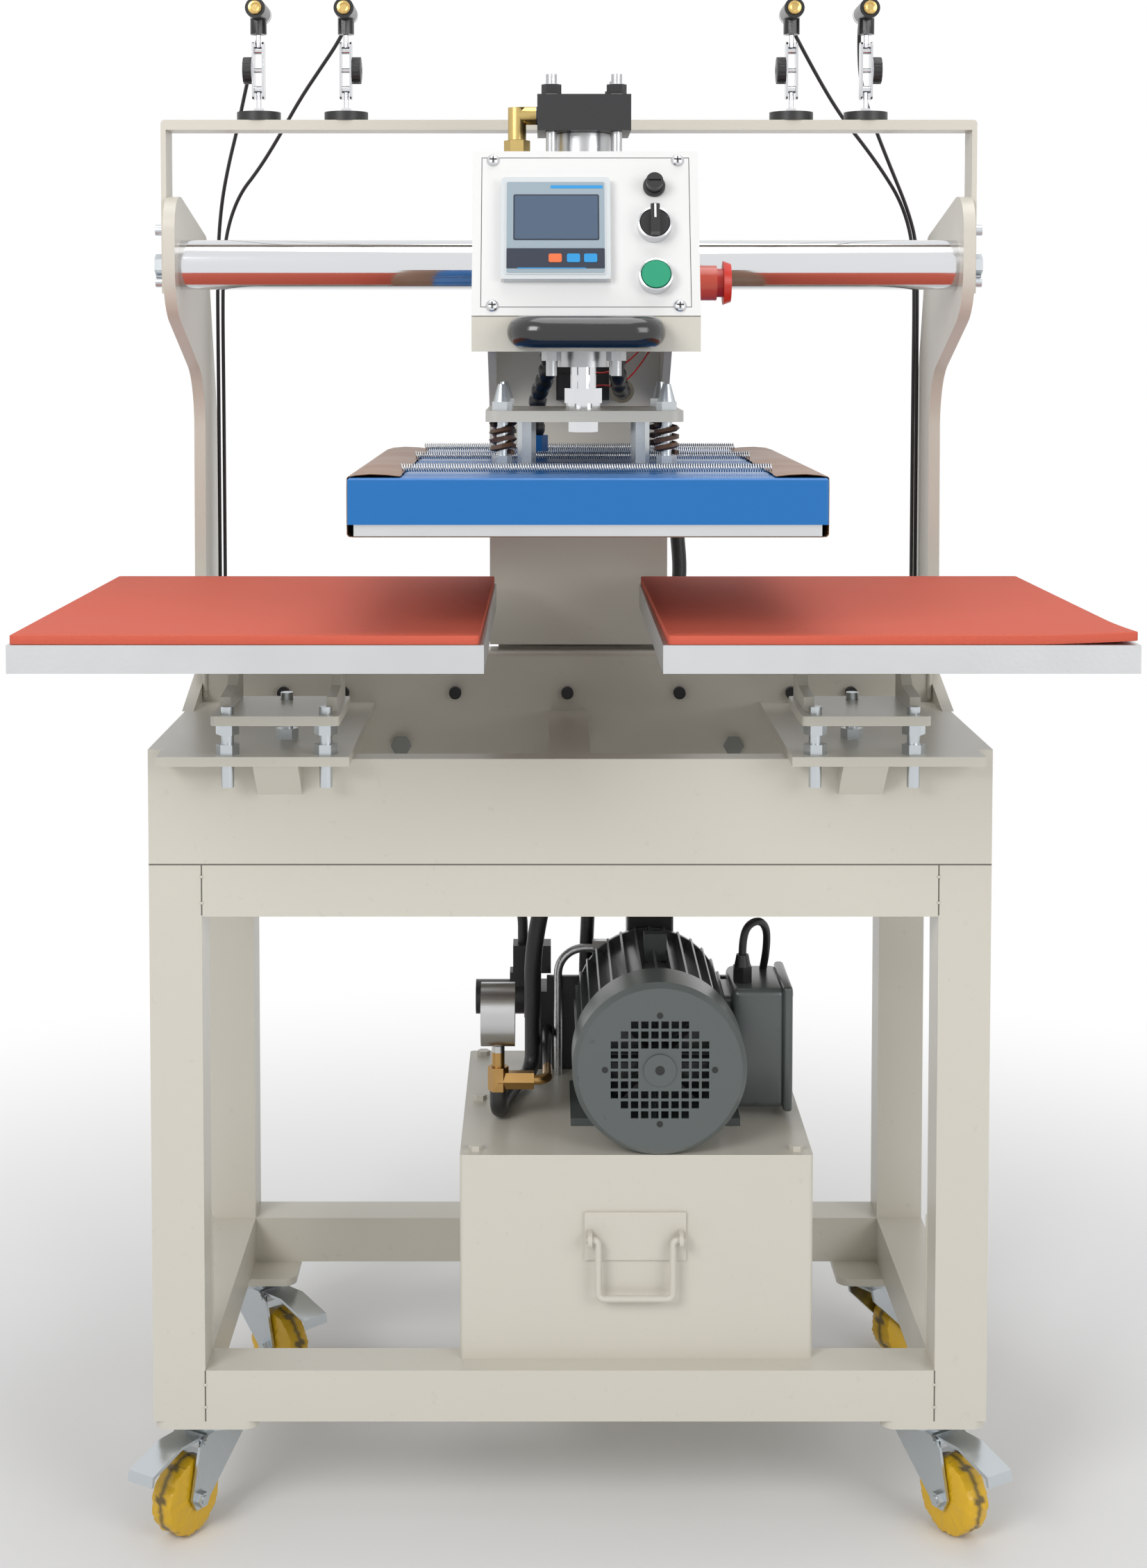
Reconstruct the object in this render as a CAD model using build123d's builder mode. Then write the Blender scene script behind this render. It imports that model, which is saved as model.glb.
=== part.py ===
from build123d import *

import math
import os

# A hydraulic heat press on a wheeled cart, with one press head that slides along a shaft
# between two lower platens. Millimetres. +X is the operator's right, +Y the back, +Z up.
# The origin is on the floor, under the middle of the whole machine's outline.

os.makedirs("parts", exist_ok=True)


# Driving sizes of the cart and the base
press_y = -110.0  # the ram's axis stands over the cart's front face
cart_width = 800.0
cart_depth = 440.0
cart_height = 541.0
tube = 50.0
tube_wall = 2.5
bearer_width = 40.0
bearer_thick = 10.0
caster_height = 108.0
caster_plate = 100.0
caster_plate_thick = 8.0
caster_plate_corner = 14.0
base_height = 101.0
base_flange = 29.0
base_wall = 4.0
beam_rise = 64.0  # how far the guide beam stands above the base
beam_front = 294.0  # behind the cart's front face
beam_wall = 5.0
beam_flange = 36.0
beam_bend = 8.0
rib_side = 40.0
guide_bar_tall = 50.0
guide_bar_deep = 36.0
guide_bar_length = 640.0

# Driving sizes of the shelves, brackets and lower platens
platen_width = 400.0
platen_depth = 500.0
platen_x = 275.0  # the middle of each lower platen
lower_platen_thick = 24.0
pad_thick = 8.0
pad_trim = 3.0
shelf_inner_x = 206.0
shelf_notch_x = 386.0
shelf_overhang = 40.0
shelf_thick = 9.0
gusset_width = 42.0
gusset_reach = 38.0
gusset_drop = 34.0
bolt_d = 12.0
bolt_clearance = 0.5
bolt_hex = 21.9
nut_tall = 10.0
bracket_width = 120.0
bracket_back = 85.0
bracket_thick = 9.0
bracket_lift = 29.0  # clear height between shelf and bracket
ear_thick = 10.0
ear_spacing = 100.0
front_bolt_spacing = 92.0
front_bolt_y = -24.0
rear_bolt_y = 65.0
bracket_to_platen = 70.0  # from the bracket plate's top to the lower platen

# Driving sizes of the cheeks, shaft and laser bar
cheek_inner_x = 391.0
cheek_thick = 12.0
shaft_d = 50.0
shaft_y = 174.0  # behind the press axis
shaft_rise = 472.0  # above the base
gantry_width = 40.0
gantry_thick = 10.0
gantry_leg_thick = 5.0
gantry_rise = 144.0  # the bar's top above the shaft's axis
gantry_leg_low = 29.0  # the legs' lower end below the shaft's axis

# Driving sizes of the head
head_x = 12.0  # where the head stands at rest
column_width = 190.0
column_plate = 8.0
column_front = 300.0  # behind the press axis
column_depth = 63.0
column_gap = 6.0  # above the guide beam
shell_wall = 5.0
head_floor = -86.0  # the head's underside below the shaft's axis
deck_thick = 15.0
bearing_half = 45.0
running_gap = 0.05
pad_gap = 0.3

# Driving sizes of the cylinder and ram
block_side = 86.0
block_low = 116.0  # above the shaft's axis
block_tall = 33.0
barrel_d = 51.0
cylinder_bore = 40.0
rod_d = 24.0
tie_spacing = 60.0
tie_d = 10.0
gland_d = 48.0
gland_drop = 15.0
piston_tall = 25.0
plate_width = 180.0
plate_depth = 165.0
plate_thick = 10.0
plate_low = -150.0  # the pressure plate's underside below the shaft's axis
stud_x = 75.0
stud_y = 62.0
stud_d = 10.0
spring_outer = 22.6
spring_wire_radial = 3.6
spring_wire_tall = 4.2
spring_turns = 3.5
cover_tall = 39.0
cover_top = -191.0  # the heater cover's top below the shaft's axis
heater_width = 392.0
heater_thick = 10.0
sheet_thick = 1.0
sheet_margin = 46.0

# Heights and depths worked out from the driving sizes
cart_bottom = caster_height + caster_plate_thick
cart_top = cart_bottom + cart_height
base_top = cart_top + base_height
beam_top = base_top + beam_rise
beam_y = press_y + beam_front
cart_mid_y = press_y + cart_depth / 2
cart_back_y = press_y + cart_depth
shelf_top = base_top + shelf_thick
bracket_low = shelf_top + bracket_lift
bracket_top = bracket_low + bracket_thick
lower_platen_low = bracket_top + bracket_to_platen
lower_platen_top = lower_platen_low + lower_platen_thick
pad_top = lower_platen_top + pad_thick
shaft_axis_y = press_y + shaft_y
shaft_z = base_top + shaft_rise
head_low = shaft_z + head_floor
column_low = beam_top + column_gap
column_y = press_y + column_front
plate_z = shaft_z + plate_low
cover_z = shaft_z + cover_top


# The cart: square steel tube, its legs, cross rails and side rails butted and welded
with BuildPart() as cart_legs:
    with BuildSketch(Plane.XY.offset(cart_bottom)):
        with Locations((0, cart_mid_y)):
            with GridLocations(cart_width - tube, cart_depth - tube, 2, 2):
                Rectangle(tube, tube)
                Rectangle(tube - 2 * tube_wall, tube - 2 * tube_wall, mode=Mode.SUBTRACT)
    extrude(amount=cart_height)

rail_mid_z = (cart_bottom + cart_top) / 2
with BuildPart() as cart_cross_rails:
    with BuildSketch(Plane.YZ.offset(tube - cart_width / 2)):
        with Locations((cart_mid_y, rail_mid_z)):
            with GridLocations(cart_depth - tube, cart_height - tube, 2, 2):
                Rectangle(tube, tube)
                Rectangle(tube - 2 * tube_wall, tube - 2 * tube_wall, mode=Mode.SUBTRACT)
    extrude(amount=cart_width - 2 * tube)

with BuildPart() as cart_side_rails:
    with BuildSketch(Plane.XZ.offset(-(press_y + tube))):
        with Locations((0, rail_mid_z)):
            with GridLocations(cart_width - tube, cart_height - tube, 2, 2):
                Rectangle(tube, tube)
                Rectangle(tube - 2 * tube_wall, tube - 2 * tube_wall, mode=Mode.SUBTRACT)
    extrude(amount=-(cart_depth - 2 * tube))

with BuildPart() as caster_plates:
    with BuildSketch(Plane.XY.offset(caster_height)):
        with Locations((0, cart_mid_y)):
            with GridLocations(cart_width - caster_plate, cart_depth - caster_plate, 2, 2):
                RectangleRounded(caster_plate, caster_plate, caster_plate_corner)
    extrude(amount=caster_plate_thick)

# Two flat bearers between the bottom cross rails carry the oil tank
tank_width = 342.0
tank_depth = 332.0
tank_height = 201.0
tank_x = 64.6
tank_front = 27.0
tank_low = cart_bottom + tube
bearer_spacing = tank_width - 2 * bearer_width
with BuildPart() as tank_bearers:
    with BuildSketch(Plane.XY.offset(tank_low - bearer_thick)):
        with Locations((tank_x, cart_mid_y)):
            with GridLocations(bearer_spacing, 1, 2, 1):
                Rectangle(bearer_width, cart_depth - 2 * tube)
    extrude(amount=bearer_thick)

cart_frame = Compound(
    cart_legs.part.solids()
    + cart_cross_rails.part.solids()
    + cart_side_rails.part.solids()
    + caster_plates.part.solids()
    + tank_bearers.part.solids()
)
cart_frame.label = "cart_frame"
export_step(cart_frame, "parts/cart_frame.step")


# The base: a ring of folded channel, the guide beam across it and a square rib in the middle
with BuildPart() as base_ring:
    with BuildSketch(Plane.XY.offset(cart_top)):
        with Locations((0, cart_mid_y)):
            Rectangle(cart_width, cart_depth)
            Rectangle(cart_width - 2 * base_flange, cart_depth - 2 * base_flange, mode=Mode.SUBTRACT)
    extrude(amount=base_height)
    with BuildSketch(Plane.XY.offset(cart_top + base_wall)):
        with Locations((0, cart_mid_y)):
            Rectangle(cart_width - 2 * base_wall, cart_depth - 2 * base_wall)
    extrude(amount=base_height - 2 * base_wall, mode=Mode.SUBTRACT)
    with BuildSketch(Plane.YZ.offset(-cheek_inner_x)):
        with BuildLine():
            Polyline(
                (beam_y, cart_top),
                (beam_y, beam_top),
                (beam_y + beam_flange, beam_top),
                (beam_y + beam_flange, beam_top - beam_wall),
                (beam_y + beam_wall, beam_top - beam_wall),
                (beam_y + beam_wall, cart_top),
                close=True,
            )
        make_face()
        outer_bend = vertices().sort_by_distance((beam_y, beam_top))[0]
        fillet(outer_bend, beam_bend)
        inner_bend = vertices().sort_by_distance((beam_y + beam_wall, beam_top - beam_wall))[0]
        fillet(inner_bend, beam_bend - beam_wall)
    extrude(amount=2 * cheek_inner_x)
    with BuildSketch(Plane.XZ.offset(-(press_y + base_flange))):
        with Locations((0, base_top - rib_side / 2)):
            Rectangle(rib_side, rib_side)
            Rectangle(rib_side - 2 * base_wall, rib_side - 2 * base_wall, mode=Mode.SUBTRACT)
    extrude(amount=-(beam_front - base_flange))
base_ring.part.label = "base_box"
export_step(base_ring.part, "parts/base_box.step")

# The ground bar that steadies the column's foot, bolted behind the beam
guide_bar_z = beam_top - 45.0
with BuildPart() as guide_bar:
    with BuildSketch(Plane.YZ.offset(-guide_bar_length / 2)):
        with Locations((beam_y + beam_wall + guide_bar_deep / 2, guide_bar_z)):
            Rectangle(guide_bar_deep, guide_bar_tall)
    extrude(amount=guide_bar_length)
    chamfer(guide_bar.edges().filter_by(Axis.X), 1.5)


# The shelves lie on the base and overhang its front; a wedge welded below holds each overhang
bolt_spots = [
    (platen_x - front_bolt_spacing / 2, press_y + front_bolt_y),
    (platen_x + front_bolt_spacing / 2, press_y + front_bolt_y),
    (platen_x, press_y + rear_bolt_y),
]
with BuildPart() as shelves:
    with BuildSketch(Plane.XY.offset(base_top)):
        with BuildLine():
            Polyline(
                (shelf_inner_x, press_y - shelf_overhang),
                (shelf_notch_x, press_y - shelf_overhang),
                (shelf_notch_x, press_y),
                (cart_width / 2, press_y),
                (cart_width / 2, beam_y),
                (shelf_inner_x, beam_y),
                close=True,
            )
        make_face()
        with Locations(*bolt_spots):
            Circle(bolt_d / 2 + bolt_clearance, mode=Mode.SUBTRACT)
    extrude(amount=shelf_thick)
    with BuildSketch(Plane.YZ.offset(platen_x - gusset_width / 2)):
        with BuildLine():
            Polyline(
                (press_y, base_top),
                (press_y - gusset_reach, base_top),
                (press_y, base_top - gusset_drop),
                close=True,
            )
        make_face()
    extrude(amount=gusset_width)
    mirror(about=Plane.YZ)
shelves.part.label = "platen_shelves"
export_step(shelves.part, "parts/platen_shelves.step")


# The levelling bolts: threaded studs, each with a nut on the shelf and one under the bracket
with BuildPart() as levelling_bolts:
    with BuildSketch(Plane.XY.offset(base_top - 22.0)):
        with Locations(*bolt_spots):
            Circle(bolt_d / 2)
    extrude(amount=bracket_top - base_top + 29.0)
    with BuildSketch(Plane.XY.offset(shelf_top)):
        with Locations(*bolt_spots):
            RegularPolygon(bolt_hex / 2, 6)
    extrude(amount=nut_tall)
    with BuildSketch(Plane.XY.offset(bracket_low - nut_tall)):
        with Locations(*bolt_spots):
            RegularPolygon(bolt_hex / 2, 6)
    extrude(amount=nut_tall)
    mirror(about=Plane.YZ)


# The platen brackets: a base plate on the bolts and two swan-necked ears under the platen
ear_top = lower_platen_low - bracket_low
with BuildPart() as brackets:
    with BuildSketch(Plane.XY.offset(bracket_low)):
        with Locations((platen_x, press_y + (bracket_back - shelf_overhang) / 2)):
            RectangleRounded(bracket_width, bracket_back + shelf_overhang, 5)
        with Locations(*bolt_spots):
            Circle(bolt_d / 2 + bolt_clearance, mode=Mode.SUBTRACT)
    extrude(amount=bracket_thick)
    for ear_x in (platen_x - ear_spacing / 2, platen_x + ear_spacing / 2):
        with BuildSketch(Plane.YZ.offset(ear_x - ear_thick / 2)):
            with BuildLine():
                Polyline(
                    (press_y - 7, bracket_top),
                    (press_y - 7, bracket_top + 13),
                    (press_y + 42, bracket_top + 17),
                    (press_y + 52, bracket_top + 26),
                    (press_y + 52, bracket_top + 42),
                    (press_y + 40, bracket_top + 52),
                    (press_y - 60, lower_platen_low - 9),
                    (press_y - 60, lower_platen_low),
                    (press_y + bracket_back, lower_platen_low),
                    (press_y + bracket_back, bracket_top),
                    close=True,
                )
            make_face()
        extrude(amount=ear_thick)
    mirror(about=Plane.YZ)
brackets.part.label = "platen_brackets"
export_step(brackets.part, "parts/platen_brackets.step")


# The lower platens, sawn aluminium plate, and the silicone sponge pads that lie on them
with BuildPart() as lower_platens:
    with BuildSketch(Plane.XY.offset(lower_platen_low)):
        with Locations((0, press_y)):
            with GridLocations(2 * platen_x, 1, 2, 1):
                Rectangle(platen_width, platen_depth)
    extrude(amount=lower_platen_thick)
lower_platens.part.label = "lower_platens"
export_step(lower_platens.part, "parts/lower_platens.step")

with BuildPart() as pads:
    with BuildSketch(Plane.XY.offset(lower_platen_top)):
        with Locations((0, press_y)):
            with GridLocations(2 * platen_x, 1, 2, 1):
                Rectangle(platen_width - 2 * pad_trim, platen_depth - 2 * pad_trim)
    extrude(amount=pad_thick)
pads.part.label = "silicone_pads"
export_step(pads.part, "parts/silicone_pads.step")


# The side cheeks: one cut plate each side, from the base up to the shaft's end
cheek_outline = [
    (228, shelf_top),
    (324, shelf_top + 29),
    (330, shaft_z - 120),
    (129, shaft_z - 43),
    (129, shaft_z + 68),
    (175, shaft_z + 68),
    (352, shaft_z + 35),
    (cart_depth, shaft_z - 212),
    (cart_depth, base_top),
    (beam_front, base_top),
    (beam_front, shelf_top),
]
cheek_rounds = [(2, 70), (3, 60), (4, 35), (6, 20), (7, 60)]
with BuildPart() as cheeks:
    with BuildSketch(Plane.YZ.offset(cheek_inner_x)):
        with BuildLine():
            Polyline(*[(press_y + y, z) for y, z in cheek_outline], close=True)
        make_face()
        for corner, radius in cheek_rounds:
            y, z = cheek_outline[corner]
            fillet(vertices().sort_by_distance((press_y + y, z))[0], radius)
    extrude(amount=cheek_thick)
    mirror(about=Plane.YZ)
cheeks.part.label = "side_cheeks"
export_step(cheeks.part, "parts/side_cheeks.step")


# The guide shaft: ground and plated bar, held between the cheeks by a bolt at each end
with BuildPart() as shaft:
    with BuildSketch(Plane.YZ.offset(-cheek_inner_x)):
        with Locations((shaft_axis_y, shaft_z)):
            Circle(shaft_d / 2)
    extrude(amount=2 * cheek_inner_x)
guide_rails = Compound(shaft.part.solids() + guide_bar.part.solids())
guide_rails.label = "guide_rails"
export_step(guide_rails, "parts/guide_rails.step")


# The laser bar: a flat bar on two legs that are bolted to the outsides of the cheeks
cheek_outer_x = cheek_inner_x + cheek_thick
gantry_top = shaft_z + gantry_rise
with BuildPart() as gantry:
    with BuildSketch(Plane.XZ.offset(-(shaft_axis_y - gantry_width / 2))):
        with BuildLine():
            Polyline(
                (cheek_outer_x, shaft_z - gantry_leg_low),
                (cheek_outer_x, gantry_top - gantry_thick),
                (0, gantry_top - gantry_thick),
                (0, gantry_top),
                (cheek_outer_x + gantry_leg_thick, gantry_top),
                (cheek_outer_x + gantry_leg_thick, shaft_z - gantry_leg_low),
                close=True,
            )
        make_face()
        outer_corner = (cheek_outer_x + gantry_leg_thick, gantry_top)
        fillet(vertices().sort_by_distance(outer_corner)[0], 4)
        mirror(about=Plane.YZ)
    extrude(amount=-gantry_width)
gantry.part.label = "laser_gantry"
export_step(gantry.part, "parts/laser_gantry.step")


# The bolts that show: through the cheeks into the shaft, through the gantry legs, on the beam
beam_bolt_xs = [-304, -240, -120, 0, 120, 240, 304]
leg_outer_x = cheek_outer_x + gantry_leg_thick
with BuildPart() as fasteners:
    with BuildSketch(Plane.YZ.offset(leg_outer_x)):
        with Locations((shaft_axis_y, shaft_z)):
            RegularPolygon(bolt_hex / 2, 6, rotation=30)
        with Locations((shaft_axis_y, shaft_z + 35), (shaft_axis_y, shaft_z - 17)):
            Circle(5.5)
    extrude(amount=9)
    mirror(about=Plane.YZ)
    with BuildSketch(Plane.XZ.offset(-beam_y)):
        with Locations(*[(x, guide_bar_z) for x in beam_bolt_xs]):
            Circle(6.5)
        with Locations((-178, base_top - 38), (178, base_top - 38)):
            RegularPolygon(bolt_hex / 2, 6)
    extrude(amount=8)
frame_fasteners = Compound(fasteners.part.solids() + levelling_bolts.part.solids())
frame_fasteners.label = "frame_fasteners"
export_step(frame_fasteners, "parts/frame_fasteners.step")


# The four cross-line lasers: a magnet foot with a ball stud, a clamp arm and a laser body
laser_xs = [-312, -224, 224, 299]
magnet_d = 44.0
magnet_tall = 9.0
lower_ball_z = gantry_top + 32.0
upper_ball_z = gantry_top + 71.0
laser_axis_z = gantry_top + 110.0
laser_d = 20.0
laser_length = 55.0
stud_rod_d = 5.0
ball_d = 7.6
arm_gap = 8.0
arm_plate = 2.0
arm_width = 16.0
arm_low = gantry_top + 22.0
arm_high = gantry_top + 79.0
with BuildPart() as laser_feet:
    with BuildSketch(Plane.XY.offset(gantry_top)):
        with Locations(*[(x, shaft_axis_y) for x in laser_xs]):
            Circle(magnet_d / 2)
    extrude(amount=magnet_tall)
    with BuildSketch(Plane.XY.offset(gantry_top + magnet_tall)):
        with Locations(*[(x, shaft_axis_y) for x in laser_xs]):
            RegularPolygon(5, 6)
    extrude(amount=4)
    with BuildSketch(Plane.XY.offset(gantry_top + magnet_tall)):
        with Locations(*[(x, shaft_axis_y) for x in laser_xs]):
            Circle(stud_rod_d / 2)
    extrude(amount=lower_ball_z - gantry_top - magnet_tall)
    with Locations(*[(x, shaft_axis_y, lower_ball_z) for x in laser_xs]):
        Cylinder(ball_d / 2, ball_d, rotation=(0, 90, 0))
laser_feet.part.label = "laser_feet"
export_step(laser_feet.part, "parts/laser_feet.step")

for number, laser_x in enumerate(laser_xs, start=1):
    knob_side = -1 if number % 2 else 1
    with BuildPart() as arm:
        with BuildSketch(Plane.YZ.offset(laser_x)):
            with Locations((shaft_axis_y, (arm_low + arm_high) / 2)):
                RectangleRounded(arm_width, arm_high - arm_low, 4)
        extrude(amount=arm_gap / 2 + arm_plate, both=True)
        with BuildSketch(Plane.YZ.offset(laser_x)):
            with Locations((shaft_axis_y, (arm_low + arm_high) / 2)):
                Rectangle(arm_width + 2, arm_high - arm_low + 2)
        extrude(amount=arm_gap / 2, both=True, mode=Mode.SUBTRACT)
        with BuildSketch(Plane.YZ.offset(laser_x - knob_side * (arm_gap / 2 + arm_plate))):
            with Locations((shaft_axis_y, gantry_top + 51)):
                Circle(2.5)
        extrude(amount=knob_side * (arm_gap + 2 * arm_plate))
        with BuildSketch(Plane.YZ.offset(laser_x + knob_side * (arm_gap / 2 + arm_plate))):
            with Locations((shaft_axis_y, gantry_top + 51)):
                RegularPolygon(13.5, 12)
        extrude(amount=knob_side * 9)
    arm.part.label = f"laser_arm_{number}"
    export_step(arm.part, f"parts/laser_arm_{number}.step")

    with BuildPart() as laser:
        with BuildSketch(Plane.XZ.offset(-(shaft_axis_y - laser_length / 2))):
            with Locations((laser_x, laser_axis_z)):
                Circle(laser_d / 2)
        extrude(amount=-laser_length)
        with BuildSketch(Plane.XZ.offset(-(shaft_axis_y - laser_length / 2))):
            with Locations((laser_x, laser_axis_z)):
                Circle(6.5)
        extrude(amount=3)
        with BuildSketch(Plane.XY.offset(upper_ball_z)):
            with Locations((laser_x, shaft_axis_y)):
                Circle(stud_rod_d / 2)
        extrude(amount=laser_axis_z - upper_ball_z - laser_d / 2 + 1)
        with BuildSketch(Plane.XY.offset(upper_ball_z + 16)):
            with Locations((laser_x, shaft_axis_y)):
                RegularPolygon(8.2, 12)
        extrude(amount=laser_axis_z - upper_ball_z - 16 - laser_d / 2 + 3)
        with Locations((laser_x, shaft_axis_y, upper_ball_z)):
            Cylinder(ball_d / 2, ball_d, rotation=(0, 90, 0))
    laser.part.label = f"laser_{number}"
    export_step(laser.part, f"parts/laser_{number}.step")


# The head's column: two cut side plates, joined by a front plate, a back plate and a deck
side_outline = [
    (column_front, column_low),
    (column_front, head_low - 63),
    (215, head_low),
    (-60, head_low),
    (-60, shaft_z + 20),
    (column_front + column_depth, shaft_z + 45),
    (column_front + column_depth, column_low),
]
column_half = column_width / 2
inner_half = column_half - column_plate
with BuildPart() as column:
    with BuildSketch(Plane.YZ.offset(head_x - column_half)):
        with BuildLine():
            Polyline(*[(press_y + y, z) for y, z in side_outline], close=True)
        make_face()
        y, z = side_outline[1]
        fillet(vertices().sort_by_distance((press_y + y, z))[0], 60)
        with Locations((shaft_axis_y, shaft_z)):
            Circle(shaft_d / 2 + 3, mode=Mode.SUBTRACT)
    extrude(amount=column_plate)
    mirror(about=Plane.YZ.offset(head_x))
    # front plate with the conduit's hole
    conduit_x = head_x + 46.0
    conduit_z = shaft_z - 130.0
    conduit_hole = 26.0
    with BuildSketch(Plane.XZ.offset(-column_y)):
        with Locations((head_x, (column_low + head_low) / 2)):
            Rectangle(2 * inner_half, head_low - column_low)
        with Locations((conduit_x, conduit_z)):
            Circle(conduit_hole / 2, mode=Mode.SUBTRACT)
    extrude(amount=-5)
    # back plate, which reaches down behind the guide beam
    foot_low = guide_bar_z - 15.0
    back_plate_y = column_y + column_depth - column_plate
    with BuildSketch(Plane.XZ.offset(-back_plate_y)):
        with Locations((head_x, (foot_low + shaft_z) / 2)):
            Rectangle(2 * inner_half, shaft_z - foot_low)
    extrude(amount=-column_plate)
    # deck that the cylinder stands on, drilled for its gland and tie rods
    with BuildSketch(Plane.XY.offset(head_low)):
        with Locations((head_x, press_y + (219 - 60) / 2)):
            Rectangle(2 * inner_half, 219 + 60)
        with Locations((head_x, press_y)):
            Circle(gland_d / 2 + running_gap, mode=Mode.SUBTRACT)
            with GridLocations(tie_spacing, tie_spacing, 2, 2):
                Circle(tie_d / 2 + 0.1, mode=Mode.SUBTRACT)
    extrude(amount=deck_thick)
column.part.label = "head_column"
export_step(column.part, "parts/head_column.step")

# The nylon pad on the back plate runs along the guide bar
slide_face_y = beam_y + beam_wall + guide_bar_deep + pad_gap
with BuildPart() as slide_pad:
    with BuildSketch(Plane.XZ.offset(-slide_face_y)):
        with Locations((head_x, guide_bar_z)):
            Rectangle(160, 30)
    extrude(amount=-(back_plate_y - slide_face_y))

# The bearing block, bored to run on the shaft, between the side plates and on the deck
bearing_low = head_low + deck_thick
bearing_top = shaft_z + bearing_half
with BuildPart() as bearing:
    with BuildSketch(Plane.YZ.offset(head_x - inner_half)):
        with Locations((shaft_axis_y, (bearing_low + bearing_top) / 2)):
            Rectangle(2 * bearing_half, bearing_top - bearing_low)
        with Locations((shaft_axis_y, shaft_z)):
            Circle(shaft_d / 2 + running_gap, mode=Mode.SUBTRACT)
    extrude(amount=2 * inner_half)
head_bearings = Compound(bearing.part.solids() + slide_pad.part.solids())
head_bearings.label = "head_bearings"
export_step(head_bearings, "parts/head_bearings.step")


# The head's sheet shell: front and sides, with a sloping face that the panel closes
panel_tilt = 19.9  # degrees from upright
panel_tall = 156.0
panel_width = 200.0
panel_thick = 3.0
shell_front = -153.0  # ahead of the press axis
panel_low = shaft_z - 54.6
sin_tilt = math.sin(math.radians(panel_tilt))
cos_tilt = math.cos(math.radians(panel_tilt))
face_low_y = press_y + shell_front + panel_thick * cos_tilt
face_low_z = panel_low - panel_thick * sin_tilt
face_top_y = face_low_y + panel_tall * sin_tilt
face_top_z = face_low_z + panel_tall * cos_tilt
shell_back = press_y + 129.0
shell_width = column_width + 2 * shell_wall
top_opening = 130.0
hose_x = head_x - 62.0
with BuildPart() as shell:
    with BuildSketch(Plane.YZ.offset(head_x - shell_width / 2)):
        with BuildLine():
            Polyline(
                (press_y + shell_front, head_low),
                (press_y + shell_front, face_low_z),
                (face_low_y, face_low_z),
                (face_top_y, face_top_z),
                (shell_back, face_top_z),
                (shell_back, head_low),
                close=True,
            )
        make_face()
    extrude(amount=shell_width)
    with BuildSketch(Plane.YZ.offset(head_x - column_half)):
        with BuildLine():
            Polyline(
                (press_y + shell_front + shell_wall, head_low + shell_wall),
                (press_y + shell_front + shell_wall, face_low_z),
                (face_low_y - 1, face_low_z),
                (face_top_y - 1, face_top_z - shell_wall),
                (shell_back, face_top_z - shell_wall),
                (shell_back, head_low),
                (press_y - 60, head_low),
                (press_y - 60, head_low + shell_wall),
                close=True,
            )
        make_face()
    extrude(amount=column_width, mode=Mode.SUBTRACT)
    with BuildSketch(Plane.XY.offset(face_top_z - shell_wall)):
        with Locations((head_x - 17, press_y)):
            Rectangle(top_opening, 96)
    extrude(amount=shell_wall, mode=Mode.SUBTRACT)
shell.part.label = "head_shell"
export_step(shell.part, "parts/head_shell.step")


# The panel: a plate on the sloping face, with the controller, two bezels and the fuse holder
controller_side = 96.0
controller_spot = (-26.6, 1.3)
fuse_spot = (60.8, 43.7)
selector_spot = (60.6, 5.3)
button_spot = (61.0, -43.3)
bezel_d = 29.0
selector_d = 25.0
button_d = 25.0
cap_d = 15.0
control_gap = 0.3
panel_plane = Plane(
    origin=(
        head_x,
        press_y + shell_front + panel_tall / 2 * sin_tilt,
        panel_low + panel_tall / 2 * cos_tilt,
    ),
    x_dir=(1, 0, 0),
    z_dir=(0, -cos_tilt, sin_tilt),
)
with BuildPart() as panel:
    with BuildSketch(panel_plane):
        Rectangle(panel_width, panel_tall)
    extrude(amount=-panel_thick)
    with BuildSketch(panel_plane):
        with Locations(controller_spot):
            Rectangle(controller_side, controller_side)
    extrude(amount=8)
    with BuildSketch(panel_plane.offset(8)):
        with Locations(controller_spot):
            Rectangle(controller_side - 8, controller_side - 8)
    extrude(amount=-2, mode=Mode.SUBTRACT)
    with BuildSketch(panel_plane):
        with Locations(selector_spot, button_spot):
            Circle(bezel_d / 2)
    extrude(amount=9)
    with BuildSketch(panel_plane):
        with Locations(selector_spot):
            Circle(selector_d / 2 + control_gap)
        with Locations(button_spot):
            Circle(button_d / 2 + control_gap)
    extrude(amount=9, mode=Mode.SUBTRACT)
    with BuildSketch(panel_plane):
        with Locations(fuse_spot):
            Circle(cap_d / 2 + 2)
    extrude(amount=3)
panel.part.label = "control_panel"
export_step(panel.part, "parts/control_panel.step")

with BuildPart() as selector:
    with BuildSketch(panel_plane):
        with Locations(selector_spot):
            Circle(selector_d / 2)
    extrude(amount=10)
    with BuildSketch(panel_plane.offset(10)):
        with Locations((selector_spot[0], selector_spot[1] + 3.5)):
            Rectangle(8, 33)
        with Locations(selector_spot):
            Circle(14, mode=Mode.INTERSECT)
    extrude(amount=11)
selector.part.label = "selector_knob"
export_step(selector.part, "parts/selector_knob.step")

button_travel = 3.5
with BuildPart() as button:
    with BuildSketch(panel_plane.offset(button_travel + 0.5)):
        with Locations(button_spot):
            Circle(button_d / 2)
    extrude(amount=7)
button.part.label = "green_button"
export_step(button.part, "parts/green_button.step")

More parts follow.
